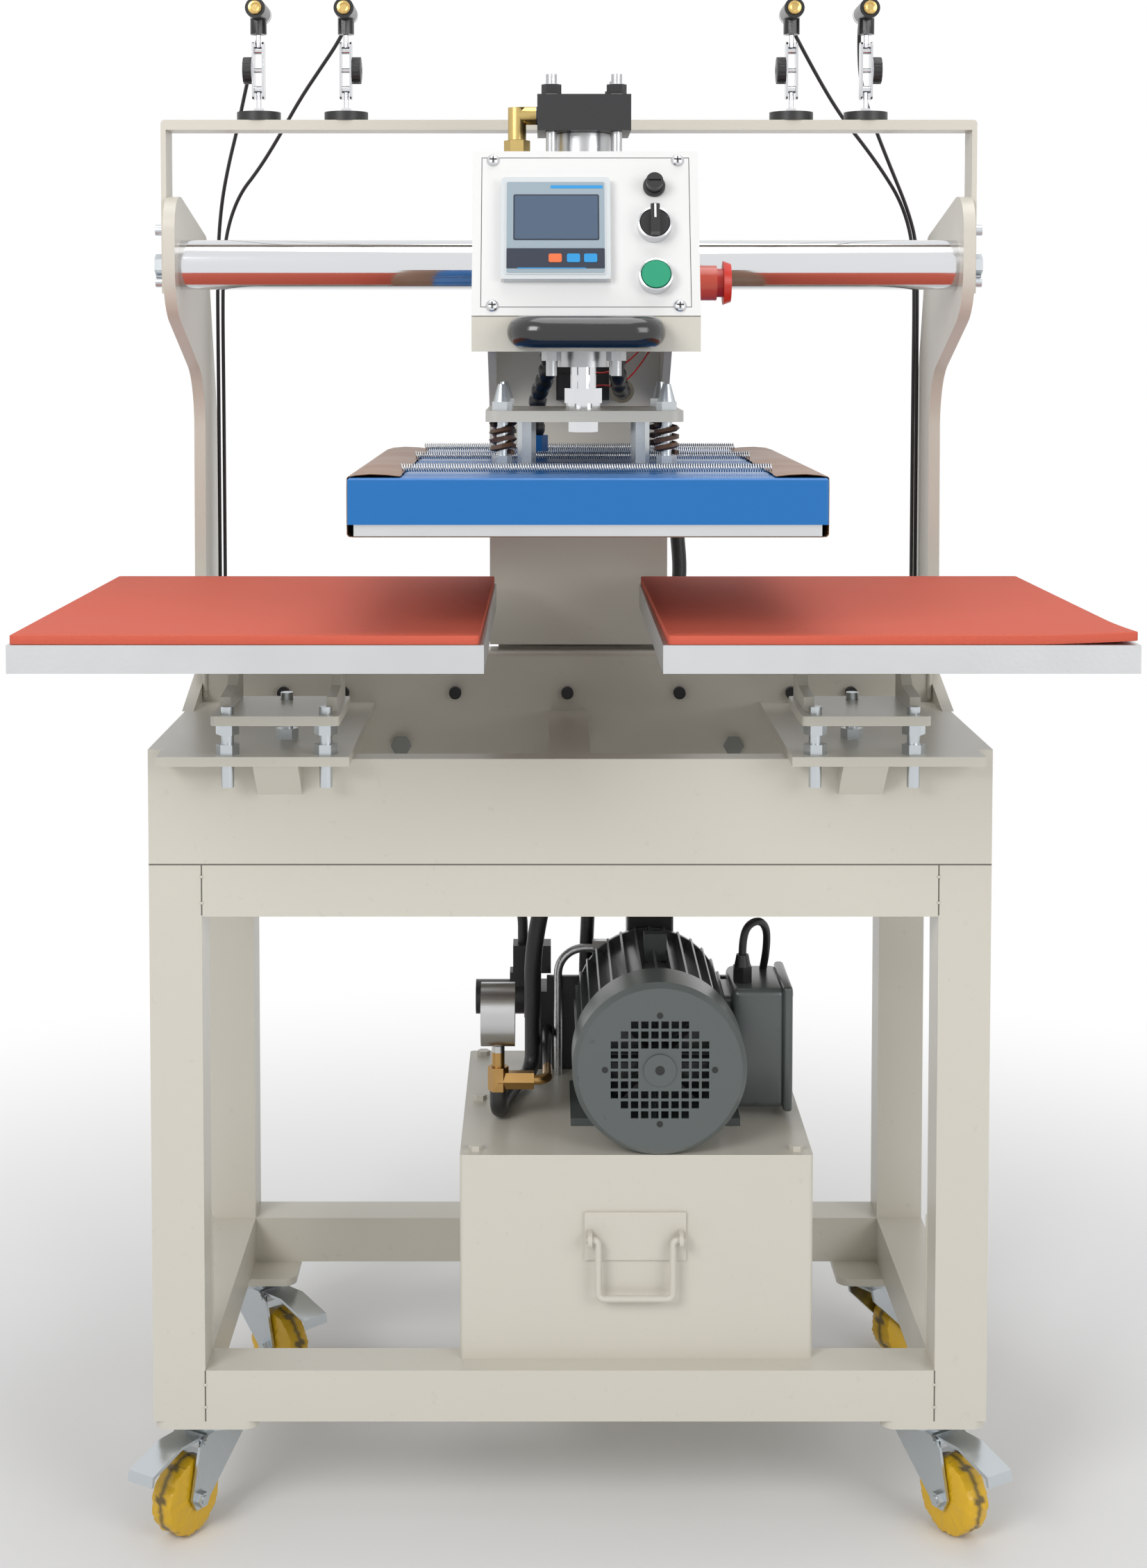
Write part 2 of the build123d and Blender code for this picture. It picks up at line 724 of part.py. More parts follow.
with BuildPart() as fuse_cap:
    with BuildSketch(panel_plane.offset(3)):
        with Locations(fuse_spot):
            Circle(cap_d / 2)
    extrude(amount=12)
    with BuildSketch(panel_plane.offset(15)):
        with Locations(fuse_spot):
            Rectangle(11, 2)
    extrude(amount=-1.5, mode=Mode.SUBTRACT)
fuse_cap.part.label = "fuse_cap"
export_step(fuse_cap.part, "parts/fuse_cap.step")


# The emergency stop on the shell's right side: a collar, and a mushroom whose stem goes in it
stop_y = press_y - 60.0
stop_z = shaft_z - 24.0
stop_x = head_x + shell_width / 2
stop_travel = 5.0
stop_stem = 26.0
with BuildPart() as stop_collar:
    with BuildSketch(Plane.YZ.offset(stop_x)):
        with Locations((stop_y, stop_z)):
            Circle(16)
    extrude(amount=20)
    with BuildSketch(Plane.YZ.offset(stop_x + 4)):
        with Locations((stop_y, stop_z)):
            Circle(stop_stem / 2 + control_gap)
    extrude(amount=16, mode=Mode.SUBTRACT)
with BuildPart() as stop_button:
    with BuildSketch(Plane.YZ.offset(stop_x + 10)):
        with Locations((stop_y, stop_z)):
            Circle(stop_stem / 2)
    extrude(amount=17)
    with BuildSketch(Plane.YZ.offset(stop_x + 26)):
        with Locations((stop_y, stop_z)):
            Circle(20)
    extrude(amount=7, taper=20)
stop_button.part.label = "estop_button"
export_step(stop_button.part, "parts/estop_button.step")


# The bow handle on the shell's lower front
handle_d = 28.0
handle_span = 110.0
handle_reach = 28.0
handle_z = head_low + 17.0
handle_y = press_y + shell_front
with BuildPart() as handle:
    with BuildLine() as handle_path:
        FilletPolyline(
            (head_x - handle_span / 2, handle_y, handle_z),
            (head_x - handle_span / 2, handle_y - handle_reach, handle_z),
            (head_x + handle_span / 2, handle_y - handle_reach, handle_z),
            (head_x + handle_span / 2, handle_y, handle_z),
            radius=18,
        )
    with BuildSketch(Plane.XZ.offset(-handle_y)):
        with Locations((head_x - handle_span / 2, handle_z)):
            Circle(handle_d / 2)
    sweep(path=handle_path.wires()[0])
handle_grip = Compound(handle.part.solids() + stop_collar.part.solids())
handle_grip.label = "handle_grip"
export_step(handle_grip, "parts/handle_grip.step")


# The cylinder: cap block, barrel, gland, four tie rods with nuts, elbow and feed hose
block_z = shaft_z + block_low
deck_top = head_low + deck_thick
with BuildPart() as cap_block:
    with BuildSketch(Plane.XY.offset(block_z)):
        with Locations((head_x, press_y)):
            Rectangle(block_side, block_side)
            with GridLocations(tie_spacing, tie_spacing, 2, 2):
                Circle(tie_d / 2 + 0.1, mode=Mode.SUBTRACT)
    extrude(amount=block_tall)
with BuildPart() as barrel:
    with BuildSketch(Plane.XY.offset(deck_top)):
        with Locations((head_x, press_y)):
            Circle(barrel_d / 2)
            Circle(cylinder_bore / 2, mode=Mode.SUBTRACT)
    extrude(amount=block_z - deck_top)
with BuildPart() as gland:
    with BuildSketch(Plane.XY.offset(head_low - gland_drop)):
        with Locations((head_x, press_y)):
            Circle(gland_d / 2)
            Circle(rod_d / 2 + running_gap, mode=Mode.SUBTRACT)
    extrude(amount=gland_drop + deck_thick)
with BuildPart() as tie_rods:
    with BuildSketch(Plane.XY.offset(head_low - 23)):
        with Locations((head_x, press_y)):
            with GridLocations(tie_spacing, tie_spacing, 2, 2):
                Circle(tie_d / 2)
    extrude(amount=block_z + block_tall + 19 - head_low + 23)
    with BuildSketch(Plane.XY.offset(head_low - 9)):
        with Locations((head_x, press_y)):
            with GridLocations(tie_spacing, tie_spacing, 2, 2):
                RegularPolygon(9.2, 6)
    extrude(amount=9)
    with BuildSketch(Plane.XY.offset(block_z + block_tall)):
        with Locations((head_x, press_y)):
            with GridLocations(tie_spacing, tie_spacing, 2, 2):
                RegularPolygon(9.2, 6)
    extrude(amount=10)
elbow_z = block_z + 17.0
elbow_d = 17.0
with BuildPart() as elbow:
    with BuildSketch(Plane.YZ.offset(head_x - block_side / 2)):
        with Locations((press_y, elbow_z)):
            Circle(elbow_d / 2)
    extrude(amount=hose_x - head_x + block_side / 2)
    with BuildSketch(Plane.XY.offset(elbow_z + elbow_d / 2 - 1)):
        with Locations((hose_x, press_y)):
            Circle(elbow_d / 2)
    extrude(amount=-30)
    with BuildSketch(Plane.XY.offset(elbow_z - 35)):
        with Locations((hose_x, press_y)):
            RegularPolygon(12.2, 6)
    extrude(amount=12)
hose_d = 16.0
with BuildPart() as feed_hose:
    with BuildLine() as feed_path:
        FilletPolyline(
            (hose_x, press_y, elbow_z - 35),
            (hose_x, press_y, shaft_z - 30),
            (hose_x, shell_back, shaft_z - 30),
            radius=50,
        )
    with BuildSketch(Plane.XY.offset(elbow_z - 35)):
        with Locations((hose_x, press_y)):
            Circle(hose_d / 2)
    sweep(path=feed_path.wires()[0])
cylinder = Compound(
    cap_block.part.solids()
    + barrel.part.solids()
    + gland.part.solids()
    + tie_rods.part.solids()
    + elbow.part.solids()
    + feed_hose.part.solids()
)
cylinder.label = "cylinder_body"
export_step(cylinder, "parts/cylinder_body.step")


# The ram: piston, rod, clamp nuts and the thread that goes through the pressure plate
rod_thread = 16.0
plate_top = plate_z + plate_thick
with BuildPart() as ram:
    with BuildSketch(Plane.XY.offset(plate_z - 12)):
        with Locations((head_x, press_y)):
            Circle(rod_thread / 2)
    extrude(amount=12 + plate_thick)
    with BuildSketch(Plane.XY.offset(plate_top)):
        with Locations((head_x, press_y)):
            Circle(rod_d / 2)
    extrude(amount=block_z - 5 - plate_top)
    with BuildSketch(Plane.XY.offset(plate_top)):
        with Locations((head_x, press_y)):
            Circle(16)
    extrude(amount=5)
    with BuildSketch(Plane.XY.offset(plate_top + 5)):
        with Locations((head_x, press_y)):
            RegularPolygon(17.5, 6)
    extrude(amount=14)
    with BuildSketch(Plane.XY.offset(plate_z - 12)):
        with Locations((head_x, press_y)):
            RegularPolygon(13.8, 6)
    extrude(amount=12)
    with BuildSketch(Plane.XY.offset(block_z - 5 - piston_tall)):
        with Locations((head_x, press_y)):
            Circle(cylinder_bore / 2 - running_gap)
    extrude(amount=piston_tall)
ram.part.label = "piston_rod"
export_step(ram.part, "parts/piston_rod.step")

with BuildPart() as pressure_plate:
    with BuildSketch(Plane.XY.offset(plate_z)):
        with Locations((head_x, press_y)):
            RectangleRounded(plate_width, plate_depth, 12)
            Circle(rod_thread / 2 + 0.1, mode=Mode.SUBTRACT)
            with GridLocations(2 * stud_x, 2 * stud_y, 2, 2):
                Circle(stud_d / 2 + 0.5, mode=Mode.SUBTRACT)
    extrude(amount=plate_thick)
pressure_plate.part.label = "pressure_plate"
export_step(pressure_plate.part, "parts/pressure_plate.step")

# Four studs hold the heated platen; two hexagonal standoffs stop it from tilting
stud_nut = 10.0
with BuildPart() as studs:
    with BuildSketch(Plane.XY.offset(cover_z)):
        with Locations((head_x, press_y)):
            with GridLocations(2 * stud_x, 2 * stud_y, 2, 2):
                Circle(stud_d / 2)
    extrude(amount=plate_top + 19 - cover_z)
    with BuildSketch(Plane.XY.offset(cover_z)):
        with Locations((head_x, press_y)):
            with GridLocations(2 * stud_x, 2 * stud_y, 2, 2):
                RegularPolygon(9.2, 6)
    extrude(amount=stud_nut)
    with BuildSketch(Plane.XY.offset(plate_top)):
        with Locations((head_x, press_y)):
            with GridLocations(2 * stud_x, 2 * stud_y, 2, 2):
                RegularPolygon(9.2, 6)
    extrude(amount=8)
    with BuildSketch(Plane.XY.offset(plate_top + 8)):
        with Locations((head_x, press_y)):
            with GridLocations(2 * stud_x, 2 * stud_y, 2, 2):
                Circle(8)
    extrude(amount=16, taper=15)
    with BuildSketch(Plane.XY.offset(cover_z)):
        with Locations((head_x, press_y - 10)):
            with GridLocations(106, 1, 2, 1):
                RegularPolygon(8.7, 6)
    extrude(amount=plate_z - cover_z)
studs.part.label = "spring_studs"
export_step(studs.part, "parts/spring_studs.step")

# The die springs: square wire wound on a helix between the lower nuts and the plate
spring_seat = 0.35
spring_low = cover_z + stud_nut + spring_seat
spring_high = plate_z - spring_seat
spring_lift = spring_high - spring_low - spring_wire_tall
spring_pitch = spring_lift / spring_turns
spring_r = (spring_outer - spring_wire_radial) / 2
half_turns = int(2 * spring_turns)
half_rise = spring_lift / half_turns
with BuildPart() as spring:
    with BuildLine() as coil:
        for i in range(half_turns):
            side = 1 if i % 2 == 0 else -1
            ThreePointArc(
                (side * spring_r, 0, i * half_rise),
                (0, side * spring_r, (i + 0.5) * half_rise),
                (-side * spring_r, 0, (i + 1) * half_rise),
            )
    with BuildSketch(Plane(origin=(spring_r, 0, 0), x_dir=(1, 0, 0), z_dir=(0, 1, 0))):
        Rectangle(spring_wire_radial, spring_wire_tall)
    sweep(path=coil.wires()[0])
springs = []
for sx in (-stud_x, stud_x):
    for sy in (-stud_y, stud_y):
        spot = Location((head_x + sx, press_y + sy, spring_low + spring_wire_tall / 2))
        springs += spring.part.moved(spot).solids()
die_springs = Compound(springs)
die_springs.label = "die_springs"
export_step(die_springs, "parts/die_springs.step")
print("die spring least self-gap", round(spring_pitch - spring_wire_tall, 2))


# The heated platen: insulated cover, aluminium plate with the elements, non-stick sheet
with BuildPart() as cover:
    with BuildSketch(Plane.XY.offset(cover_z - cover_tall)):
        with Locations((head_x, press_y)):
            RectangleRounded(platen_width + 2, platen_depth, 2)
    extrude(amount=cover_tall)
    chamfer(cover.faces().sort_by(Axis.Z)[-1].edges(), 1.5)
    with BuildSketch(Plane.XY.offset(cover_z)):
        with Locations((head_x - 45, press_y + 150)):
            RegularPolygon(12, 6)
    extrude(amount=20)
cover.part.label = "platen_cover"
export_step(cover.part, "parts/platen_cover.step")

heater_low = cover_z - cover_tall - heater_thick
with BuildPart() as heater:
    with BuildSketch(Plane.XY.offset(heater_low)):
        with Locations((head_x, press_y)):
            Rectangle(heater_width, platen_depth - 10)
    extrude(amount=heater_thick)
heater.part.label = "heater_plate"
export_step(heater.part, "parts/heater_plate.step")

sheet_half = platen_width / 2 + 1 + sheet_thick
with BuildPart() as sheet:
    with BuildSketch(Plane.XZ.offset(-(press_y - platen_depth / 2 + 5))):
        with BuildLine():
            Polyline(
                (head_x - sheet_half + sheet_margin, cover_z),
                (head_x - sheet_half + sheet_margin, cover_z + sheet_thick),
                (head_x - sheet_half, cover_z + sheet_thick),
                (head_x - sheet_half, heater_low - sheet_thick),
                (head_x, heater_low - sheet_thick),
                (head_x, heater_low),
                (head_x - sheet_half + sheet_thick, heater_low),
                (head_x - sheet_half + sheet_thick, cover_z),
                close=True,
            )
        make_face()
    extrude(amount=-(platen_depth - 10))
    mirror(about=Plane.YZ.offset(head_x))
sheet.part.label = "ptfe_sheet"
export_step(sheet.part, "parts/ptfe_sheet.step")

# Three long springs pull the sheet's folded edges together; each coil is too fine to wind here
hook_spring_d = 8.0
with BuildPart() as hook_springs:
    with BuildSketch(Plane.YZ.offset(head_x - sheet_half + sheet_margin - 6)):
        for spring_y in (-180, 40, 220):
            with Locations((press_y + spring_y, cover_z + sheet_thick + hook_spring_d / 2)):
                Circle(hook_spring_d / 2)
    extrude(amount=2 * (sheet_half - sheet_margin + 6))
hook_springs.part.label = "extension_springs"
export_step(hook_springs.part, "parts/extension_springs.step")


# Ribbed conduits with their bores: one follows the platen, one goes into the column
conduit_d = 18.0
conduit_core = 14.4
conduit_bore = 11.0


def ribbed_conduit(path_points, end_way, rib_count):
    with BuildLine() as path:
        Spline(*path_points, tangents=[(0, 0, -1), end_way])
    line = path.line
    rings = []
    for i in range(rib_count):
        for share, radius in ((0.02, conduit_core), (0.3, conduit_d), (0.7, conduit_d), (0.98, conduit_core)):
            rings.append(((i + share) / rib_count, radius / 2))
    rings[0] = (0, conduit_core / 2)
    rings[-1] = (1, conduit_core / 2)
    with BuildPart() as tube_part:
        for t, radius in rings:
            with BuildSketch(Plane(origin=line @ t, x_dir=(1, 0, 0), z_dir=line % t)):
                Circle(radius)
        loft(ruled=True)
        for i in range(rib_count + 1):
            t = i / rib_count
            with BuildSketch(Plane(origin=line @ t, x_dir=(1, 0, 0), z_dir=line % t)):
                Circle(conduit_bore / 2)
        loft(ruled=True, mode=Mode.SUBTRACT)
    return tube_part.part


platen_conduit_points = [
    (head_x - 32, press_y + 110, head_low),
    (head_x - 41, press_y + 134, head_low - 40),
    (head_x - 45, press_y + 150, cover_z + 20),
]
platen_conduit = ribbed_conduit(platen_conduit_points, (0, 0, -1), 7)
platen_conduit.label = "platen_conduit"
export_step(platen_conduit, "parts/platen_conduit.step")

column_conduit_points = [
    (head_x + 38, press_y + 209, head_low),
    (head_x + 42, press_y + 238, head_low - 38),
    (conduit_x, press_y + 300, conduit_z),
]
column_conduit = ribbed_conduit(column_conduit_points, (0, 1, 0), 6)

# The limit switch on its folded bracket, ahead of the column
with BuildPart() as switch_bracket:
    with BuildSketch(Plane.XY.offset(head_low - 53.5)):
        with Locations((head_x + 4, column_y - 6)):
            Rectangle(56, 12)
    extrude(amount=3)
    with BuildSketch(Plane.XY.offset(head_low - 53.5)):
        with Locations((head_x + 4, column_y - 13.5)):
            Rectangle(56, 3)
    extrude(amount=35)
with BuildPart() as limit_switch:
    with BuildSketch(Plane.XY.offset(head_low - 50)):
        with Locations((head_x - 8, column_y - 22.5)):
            Rectangle(28, 15)
    extrude(amount=24)
head_wiring = Compound(
    column_conduit.solids() + switch_bracket.part.solids() + limit_switch.part.solids()
)
head_wiring.label = "head_wiring"
export_step(head_wiring, "parts/head_wiring.step")
print("conduit outer radius", conduit_d / 2, "bore radius", conduit_bore / 2)


# The oil tank: a welded box with its lid set in flush, standing on the bearers
tank_wall = 3.0
tank_top = tank_low + tank_height
tank_y = press_y + tank_front + tank_depth / 2
with BuildPart() as tank_shell:
    with BuildSketch(Plane.XY.offset(tank_low)):
        with Locations((tank_x, tank_y)):
            RectangleRounded(tank_width, tank_depth, 4)
    extrude(amount=tank_height)
    with BuildSketch(Plane.XY.offset(tank_low + tank_wall)):
        with Locations((tank_x, tank_y)):
            Rectangle(tank_width - 2 * tank_wall, tank_depth - 2 * tank_wall)
    extrude(amount=tank_height - tank_wall, mode=Mode.SUBTRACT)
with BuildPart() as tank_lid:
    with BuildSketch(Plane.XY.offset(tank_top - tank_wall)):
        with Locations((tank_x, tank_y)):
            Rectangle(tank_width - 2 * tank_wall, tank_depth - 2 * tank_wall)
    extrude(amount=tank_wall)
    with BuildSketch(Plane.XY.offset(tank_top)):
        with Locations((tank_x, tank_y)):
            with GridLocations(tank_width - 30, (tank_depth - 30) / 2, 2, 3):
                RegularPolygon(7, 6)
    extrude(amount=5)

# The bail's plate on the tank's front, with two drilled lugs
bail_x = 63.5
bail_z = tank_low + 122.0
bail_wire = 6.5
bail_plate_width = 98.0
bail_plate_tall = 47.0
bail_stand = 9.0
tank_front_y = press_y + tank_front
bail_y = tank_front_y - tank_wall - bail_stand
with BuildPart() as bail_bracket:
    with BuildSketch(Plane.XZ.offset(-tank_front_y)):
        with Locations((bail_x, bail_z)):
            Rectangle(bail_plate_width, bail_plate_tall)
    extrude(amount=tank_wall)
    for side in (-1, 1):
        with BuildSketch(Plane.YZ.offset(bail_x + side * 44 - 2)):
            with Locations(((bail_y + tank_front_y - tank_wall) / 2, bail_z)):
                Rectangle(bail_stand, 14)
            with Locations((bail_y, bail_z)):
                Circle(7)
                Circle(bail_wire / 2 + running_gap, mode=Mode.SUBTRACT)
        extrude(amount=4)
oil_tank = Compound(
    tank_shell.part.solids() + tank_lid.part.solids() + bail_bracket.part.solids()
)
oil_tank.label = "oil_tank"
export_step(oil_tank, "parts/oil_tank.step")

# The bail: bent wire whose ends turn outwards into the lugs
bail_drop = 58.0
with BuildPart() as bail:
    with BuildLine() as bail_path:
        FilletPolyline(
            (bail_x - 48, bail_y, bail_z),
            (bail_x - 36, bail_y, bail_z),
            (bail_x - 36, bail_y, bail_z - bail_drop),
            (bail_x + 36, bail_y, bail_z - bail_drop),
            (bail_x + 36, bail_y, bail_z),
            (bail_x + 48, bail_y, bail_z),
            radius=5.5,
        )
    with BuildSketch(Plane.YZ.offset(bail_x - 48)):
        with Locations((bail_y, bail_z)):
            Circle(bail_wire / 2)
    sweep(path=bail_path.wires()[0])
bail.part.label = "bail_handle"
export_step(bail.part, "parts/bail_handle.step")


# The motor on the lid: finned stator, feet, end shields, terminal box and lifting lug
motor_x = 86.8
motor_z = tank_top + 85.0
stator_r = 68.0
fin_r = 80.0
fin_count = 32
fin_thick = 2.4
stator_front = 78.0
stator_back = 260.0
motor_shaft_d = 16.0
cowl_d = 169.0
cowl_wall = 2.0
cowl_front = 22.0
with BuildPart() as motor:
    with BuildSketch(Plane.XZ.offset(-(press_y + stator_front))):
        with Locations((motor_x, motor_z)):
            Circle(stator_r)
            with PolarLocations((stator_r + fin_r) / 2 - 1, fin_count):
                Rectangle(fin_r - stator_r + 2, fin_thick)
    extrude(amount=-(stator_back - stator_front))
    # end shields and the nose that carries the pump
    with BuildSketch(Plane.XZ.offset(-(press_y + stator_front - 6))):
        with Locations((motor_x, motor_z)):
            Circle(cowl_d / 2 - cowl_wall)
    extrude(amount=-6)
    with BuildSketch(Plane.XZ.offset(-(press_y + stator_back))):
        with Locations((motor_x, motor_z)):
            Circle(fin_r - 3)
    extrude(amount=-6)
    with BuildSketch(Plane.XZ.offset(-(press_y + stator_back + 6))):
        with Locations((motor_x, motor_z)):
            Circle(37)
    extrude(amount=-19)
    # feet
    with BuildSketch(Plane.XZ.offset(-(press_y + 110))):
        for side in (-1, 1):
            with Locations((motor_x + side * 52, tank_top + 20)):
                Rectangle(26, 40)
            with Locations((motor_x + side * 60, tank_top + 4)):
                Rectangle(50, 8)
    extrude(amount=-120)
    # terminal box on the right and lifting lug on top
    with BuildSketch(Plane.YZ.offset(motor_x + fin_r - 8)):
        with Locations((press_y + 185, motor_z + 5)):
            RectangleRounded(70, 60, 5)
    extrude(amount=65)
    with BuildSketch(Plane.XY.offset(motor_z + stator_r)):
        with Locations((motor_x + 2, press_y + 170)):
            Rectangle(23, 14)
    extrude(amount=28)
    # bore for the shaft
    with BuildSketch(Plane.XZ.offset(-(press_y + stator_front - 6))):
        with Locations((motor_x, motor_z)):
            Circle(motor_shaft_d / 2 + running_gap)
    extrude(amount=-70, mode=Mode.SUBTRACT)
motor.part.label = "motor_body"
export_step(motor.part, "parts/motor_body.step")

# The cowl: a cup over the fan, pierced with square holes round a plain boss
vent_side = 7.2
vent_pitch = 9.75
vent_spots = []
for column_step in range(10):
    for row_step in range(10):
        u = column_step - 4.5
        v = row_step - 4.5
        in_circle = abs(u) + abs(v) < 7.5
        off_boss = max(abs(u), abs(v)) > 2
        if in_circle and off_boss:
            vent_spots.append((motor_x + u * vent_pitch, motor_z + v * vent_pitch))
cowl_deep = stator_front - cowl_front
cowl_edge = 5.0
with BuildPart() as cowl:
    # the plane's X runs back along the motor, its Y outwards along the machine's X
    cowl_plane = Plane(
        origin=(motor_x, press_y + cowl_front, motor_z), x_dir=(0, 1, 0), z_dir=(0, 0, -1)
    )
    with BuildSketch(cowl_plane):
        with BuildLine():
            Polyline(
                (0, 0),
                (0, cowl_d / 2 - cowl_edge),
                (cowl_edge, cowl_d / 2),
                (cowl_deep, cowl_d / 2),
                (cowl_deep, cowl_d / 2 - cowl_wall),
                (cowl_edge + 1, cowl_d / 2 - cowl_wall),
                (cowl_wall, cowl_d / 2 - cowl_edge - 1),
                (cowl_wall, 0),
                close=True,
            )
        make_face()
    revolve(axis=Axis((motor_x, press_y, motor_z), (0, 1, 0)))
    with BuildSketch(Plane.XZ.offset(-(press_y + cowl_front))):
        with Locations(*vent_spots):
            Rectangle(vent_side, vent_side)
    extrude(amount=-cowl_wall, mode=Mode.SUBTRACT)
    with BuildSketch(Plane.XZ.offset(-(press_y + cowl_front))):
        with Locations((motor_x, motor_z)):
            Circle(15.5)
    extrude(amount=2)
cowl.part.label = "motor_cowl"
export_step(cowl.part, "parts/motor_cowl.step")

with BuildPart() as fan:
    with BuildSketch(Plane.XZ.offset(-(press_y + 42))):
        with Locations((motor_x, motor_z)):
            Circle(15)
            with PolarLocations(36, 8):
                Rectangle(46, 2.5)
    extrude(amount=-24)
    with BuildSketch(Plane.XZ.offset(-(press_y + 42))):
        with Locations((motor_x, motor_z)):
            Circle(motor_shaft_d / 2)
    extrude(amount=-90)
fan.part.label = "motor_fan"
export_step(fan.part, "parts/motor_fan.step")


# The valve gear: manifold, pump, black port block up to the base, bronze strip, solenoid
valve_back_y = press_y + 291.0
port_y = press_y + 277.0
with BuildPart() as manifold:
    with BuildSketch(Plane.XY.offset(tank_top)):
        with Locations((-10.5, press_y + 319)):
            Rectangle(45, 52)
    extrude(amount=85)
    chamfer(manifold.edges().filter_by(Axis.Z), 2)
with BuildPart() as pump:
    with BuildSketch(Plane.XZ.offset(-valve_back_y)):
        with Locations((motor_x, motor_z - 2)):
            RectangleRounded(80, 82, 10)
    extrude(amount=-50)
port_block_low = motor_z + 39.0
port_block_x = 88.5
with BuildPart() as port_block:
    with BuildSketch(Plane.XY.offset(port_block_low)):
        with Locations((port_block_x, press_y + 294)):
            Rectangle(49, 50)
    extrude(amount=cart_top - port_block_low)
    chamfer(port_block.edges().filter_by(Axis.Z), 2)
with BuildPart() as strip:
    with BuildSketch(Plane.XZ.offset(-(press_y + 285))):
        with Locations((75.5, motor_z + 9.5)):
            Rectangle(195, 19)
    extrude(amount=-6)
with BuildPart() as solenoid:
    with BuildSketch(Plane.YZ.offset(-99)):
        with Locations((press_y + 319, tank_top + 72.5)):
            Circle(18.5)
    extrude(amount=66)
    with BuildSketch(Plane.XY.offset(tank_top + 85)):
        with Locations((-48, press_y + 319)):
            Rectangle(28, 24)
    extrude(amount=17)
    with BuildSketch(Plane.XY.offset(tank_top + 102)):
        with Locations((-38, press_y + 319)):
            Rectangle(41, 30)
    extrude(amount=30)

# The pressure gauge faces left; its stem stands on a tee, and a pipe joins it to the manifold
gauge_x = -88.0
gauge_y = press_y + 120.0
gauge_z = tank_top + 111.0
gauge_d = 63.0
gauge_deep = 34.0
tee_z = tank_top + 44.0
with BuildPart() as gauge:
    with BuildSketch(Plane.YZ.offset(gauge_x)):
        with Locations((gauge_y, gauge_z)):
            Circle(gauge_d / 2)
    extrude(amount=gauge_deep)
    with BuildSketch(Plane.YZ.offset(gauge_x)):
        with Locations((gauge_y, gauge_z)):
            Circle(gauge_d / 2 - 3)
    extrude(amount=5, mode=Mode.SUBTRACT)
    with BuildSketch(Plane.YZ.offset(gauge_x + 1.5)):
        with Locations((gauge_y, gauge_z)):
            Circle(1.5)
    extrude(amount=4)
tee_reach = 36.0
with BuildPart() as tee:
    with BuildSketch(Plane.XY.offset(tee_z - 10)):
        with Locations((gauge_x + gauge_deep / 2, gauge_y)):
            RegularPolygon(10.5, 6)
    extrude(amount=24)
    with BuildSketch(Plane.XY.offset(tee_z + 13)):
        with Locations((gauge_x + gauge_deep / 2, gauge_y)):
            Circle(6.5)
    extrude(amount=gauge_z - gauge_d / 2 - tee_z - 13)
    with BuildSketch(Plane.YZ.offset(gauge_x + gauge_deep / 2)):
        with Locations((gauge_y, tee_z)):
            RegularPolygon(9.5, 6)
    extrude(amount=tee_reach)
gauge_pipe_x = -21.5
with BuildPart() as gauge_pipe:
    with BuildLine() as gauge_pipe_path:
        FilletPolyline(
            (gauge_x + gauge_deep / 2 + tee_reach, gauge_y, tee_z),
            (gauge_pipe_x, gauge_y, tee_z),
            (gauge_pipe_x, press_y + 293, tee_z),
            radius=12,
        )
    with BuildSketch(Plane.YZ.offset(gauge_x + gauge_deep / 2 + tee_reach)):
        with Locations((gauge_y, tee_z)):
            Circle(5)
    sweep(path=gauge_pipe_path.wires()[0])
valve_gear = Compound(
    manifold.part.solids()
    + pump.part.solids()
    + port_block.part.solids()
    + strip.part.solids()
    + solenoid.part.solids()
    + gauge.part.solids()
    + tee.part.solids()
    + gauge_pipe.part.solids()
)
valve_gear.label = "valve_gear"
export_step(valve_gear, "parts/valve_gear.step")

with BuildPart() as needle:
    with BuildSketch(Plane.YZ.offset(gauge_x + 2)):
        with Locations((gauge_y, gauge_z)):
            Circle(3.5)
        with Locations((gauge_y + 6, gauge_z - 6)):
            Rectangle(26, 1.4, rotation=-45)
        with Locations((gauge_y, gauge_z)):
            Circle(1.5 + running_gap, mode=Mode.SUBTRACT)
    extrude(amount=1)
needle.part.label = "gauge_needle"
export_step(needle.part, "parts/gauge_needle.step")


# Pipes and hoses, each one unbroken tube of straight runs and arcs as large as its runs allow
def bend_radii(points):
    radii = []
    for before, here, after in zip(points, points[1:], points[2:]):
        run_in = Vector(*here) - Vector(*before)
        run_out = Vector(*after) - Vector(*here)
        half_turn = math.radians(run_in.get_angle(run_out)) / 2
        radii.append(0.45 * min(run_in.length, run_out.length) / math.tan(half_turn))
    return radii


def hose(name, points, diameter, radii=None):
    if radii is None:
        radii = bend_radii(points)
    print(name, "diameter", diameter, "bend radii", [round(r) for r in radii])
    with BuildPart() as tube_part:
        with BuildLine() as path:
            FilletPolyline(*points, radius=radii)
        wire = path.wires()[0]
        with BuildSketch(Plane(origin=points[0], z_dir=wire % 0)):
            Circle(diameter / 2)
        sweep(path=wire)
    return tube_part.part


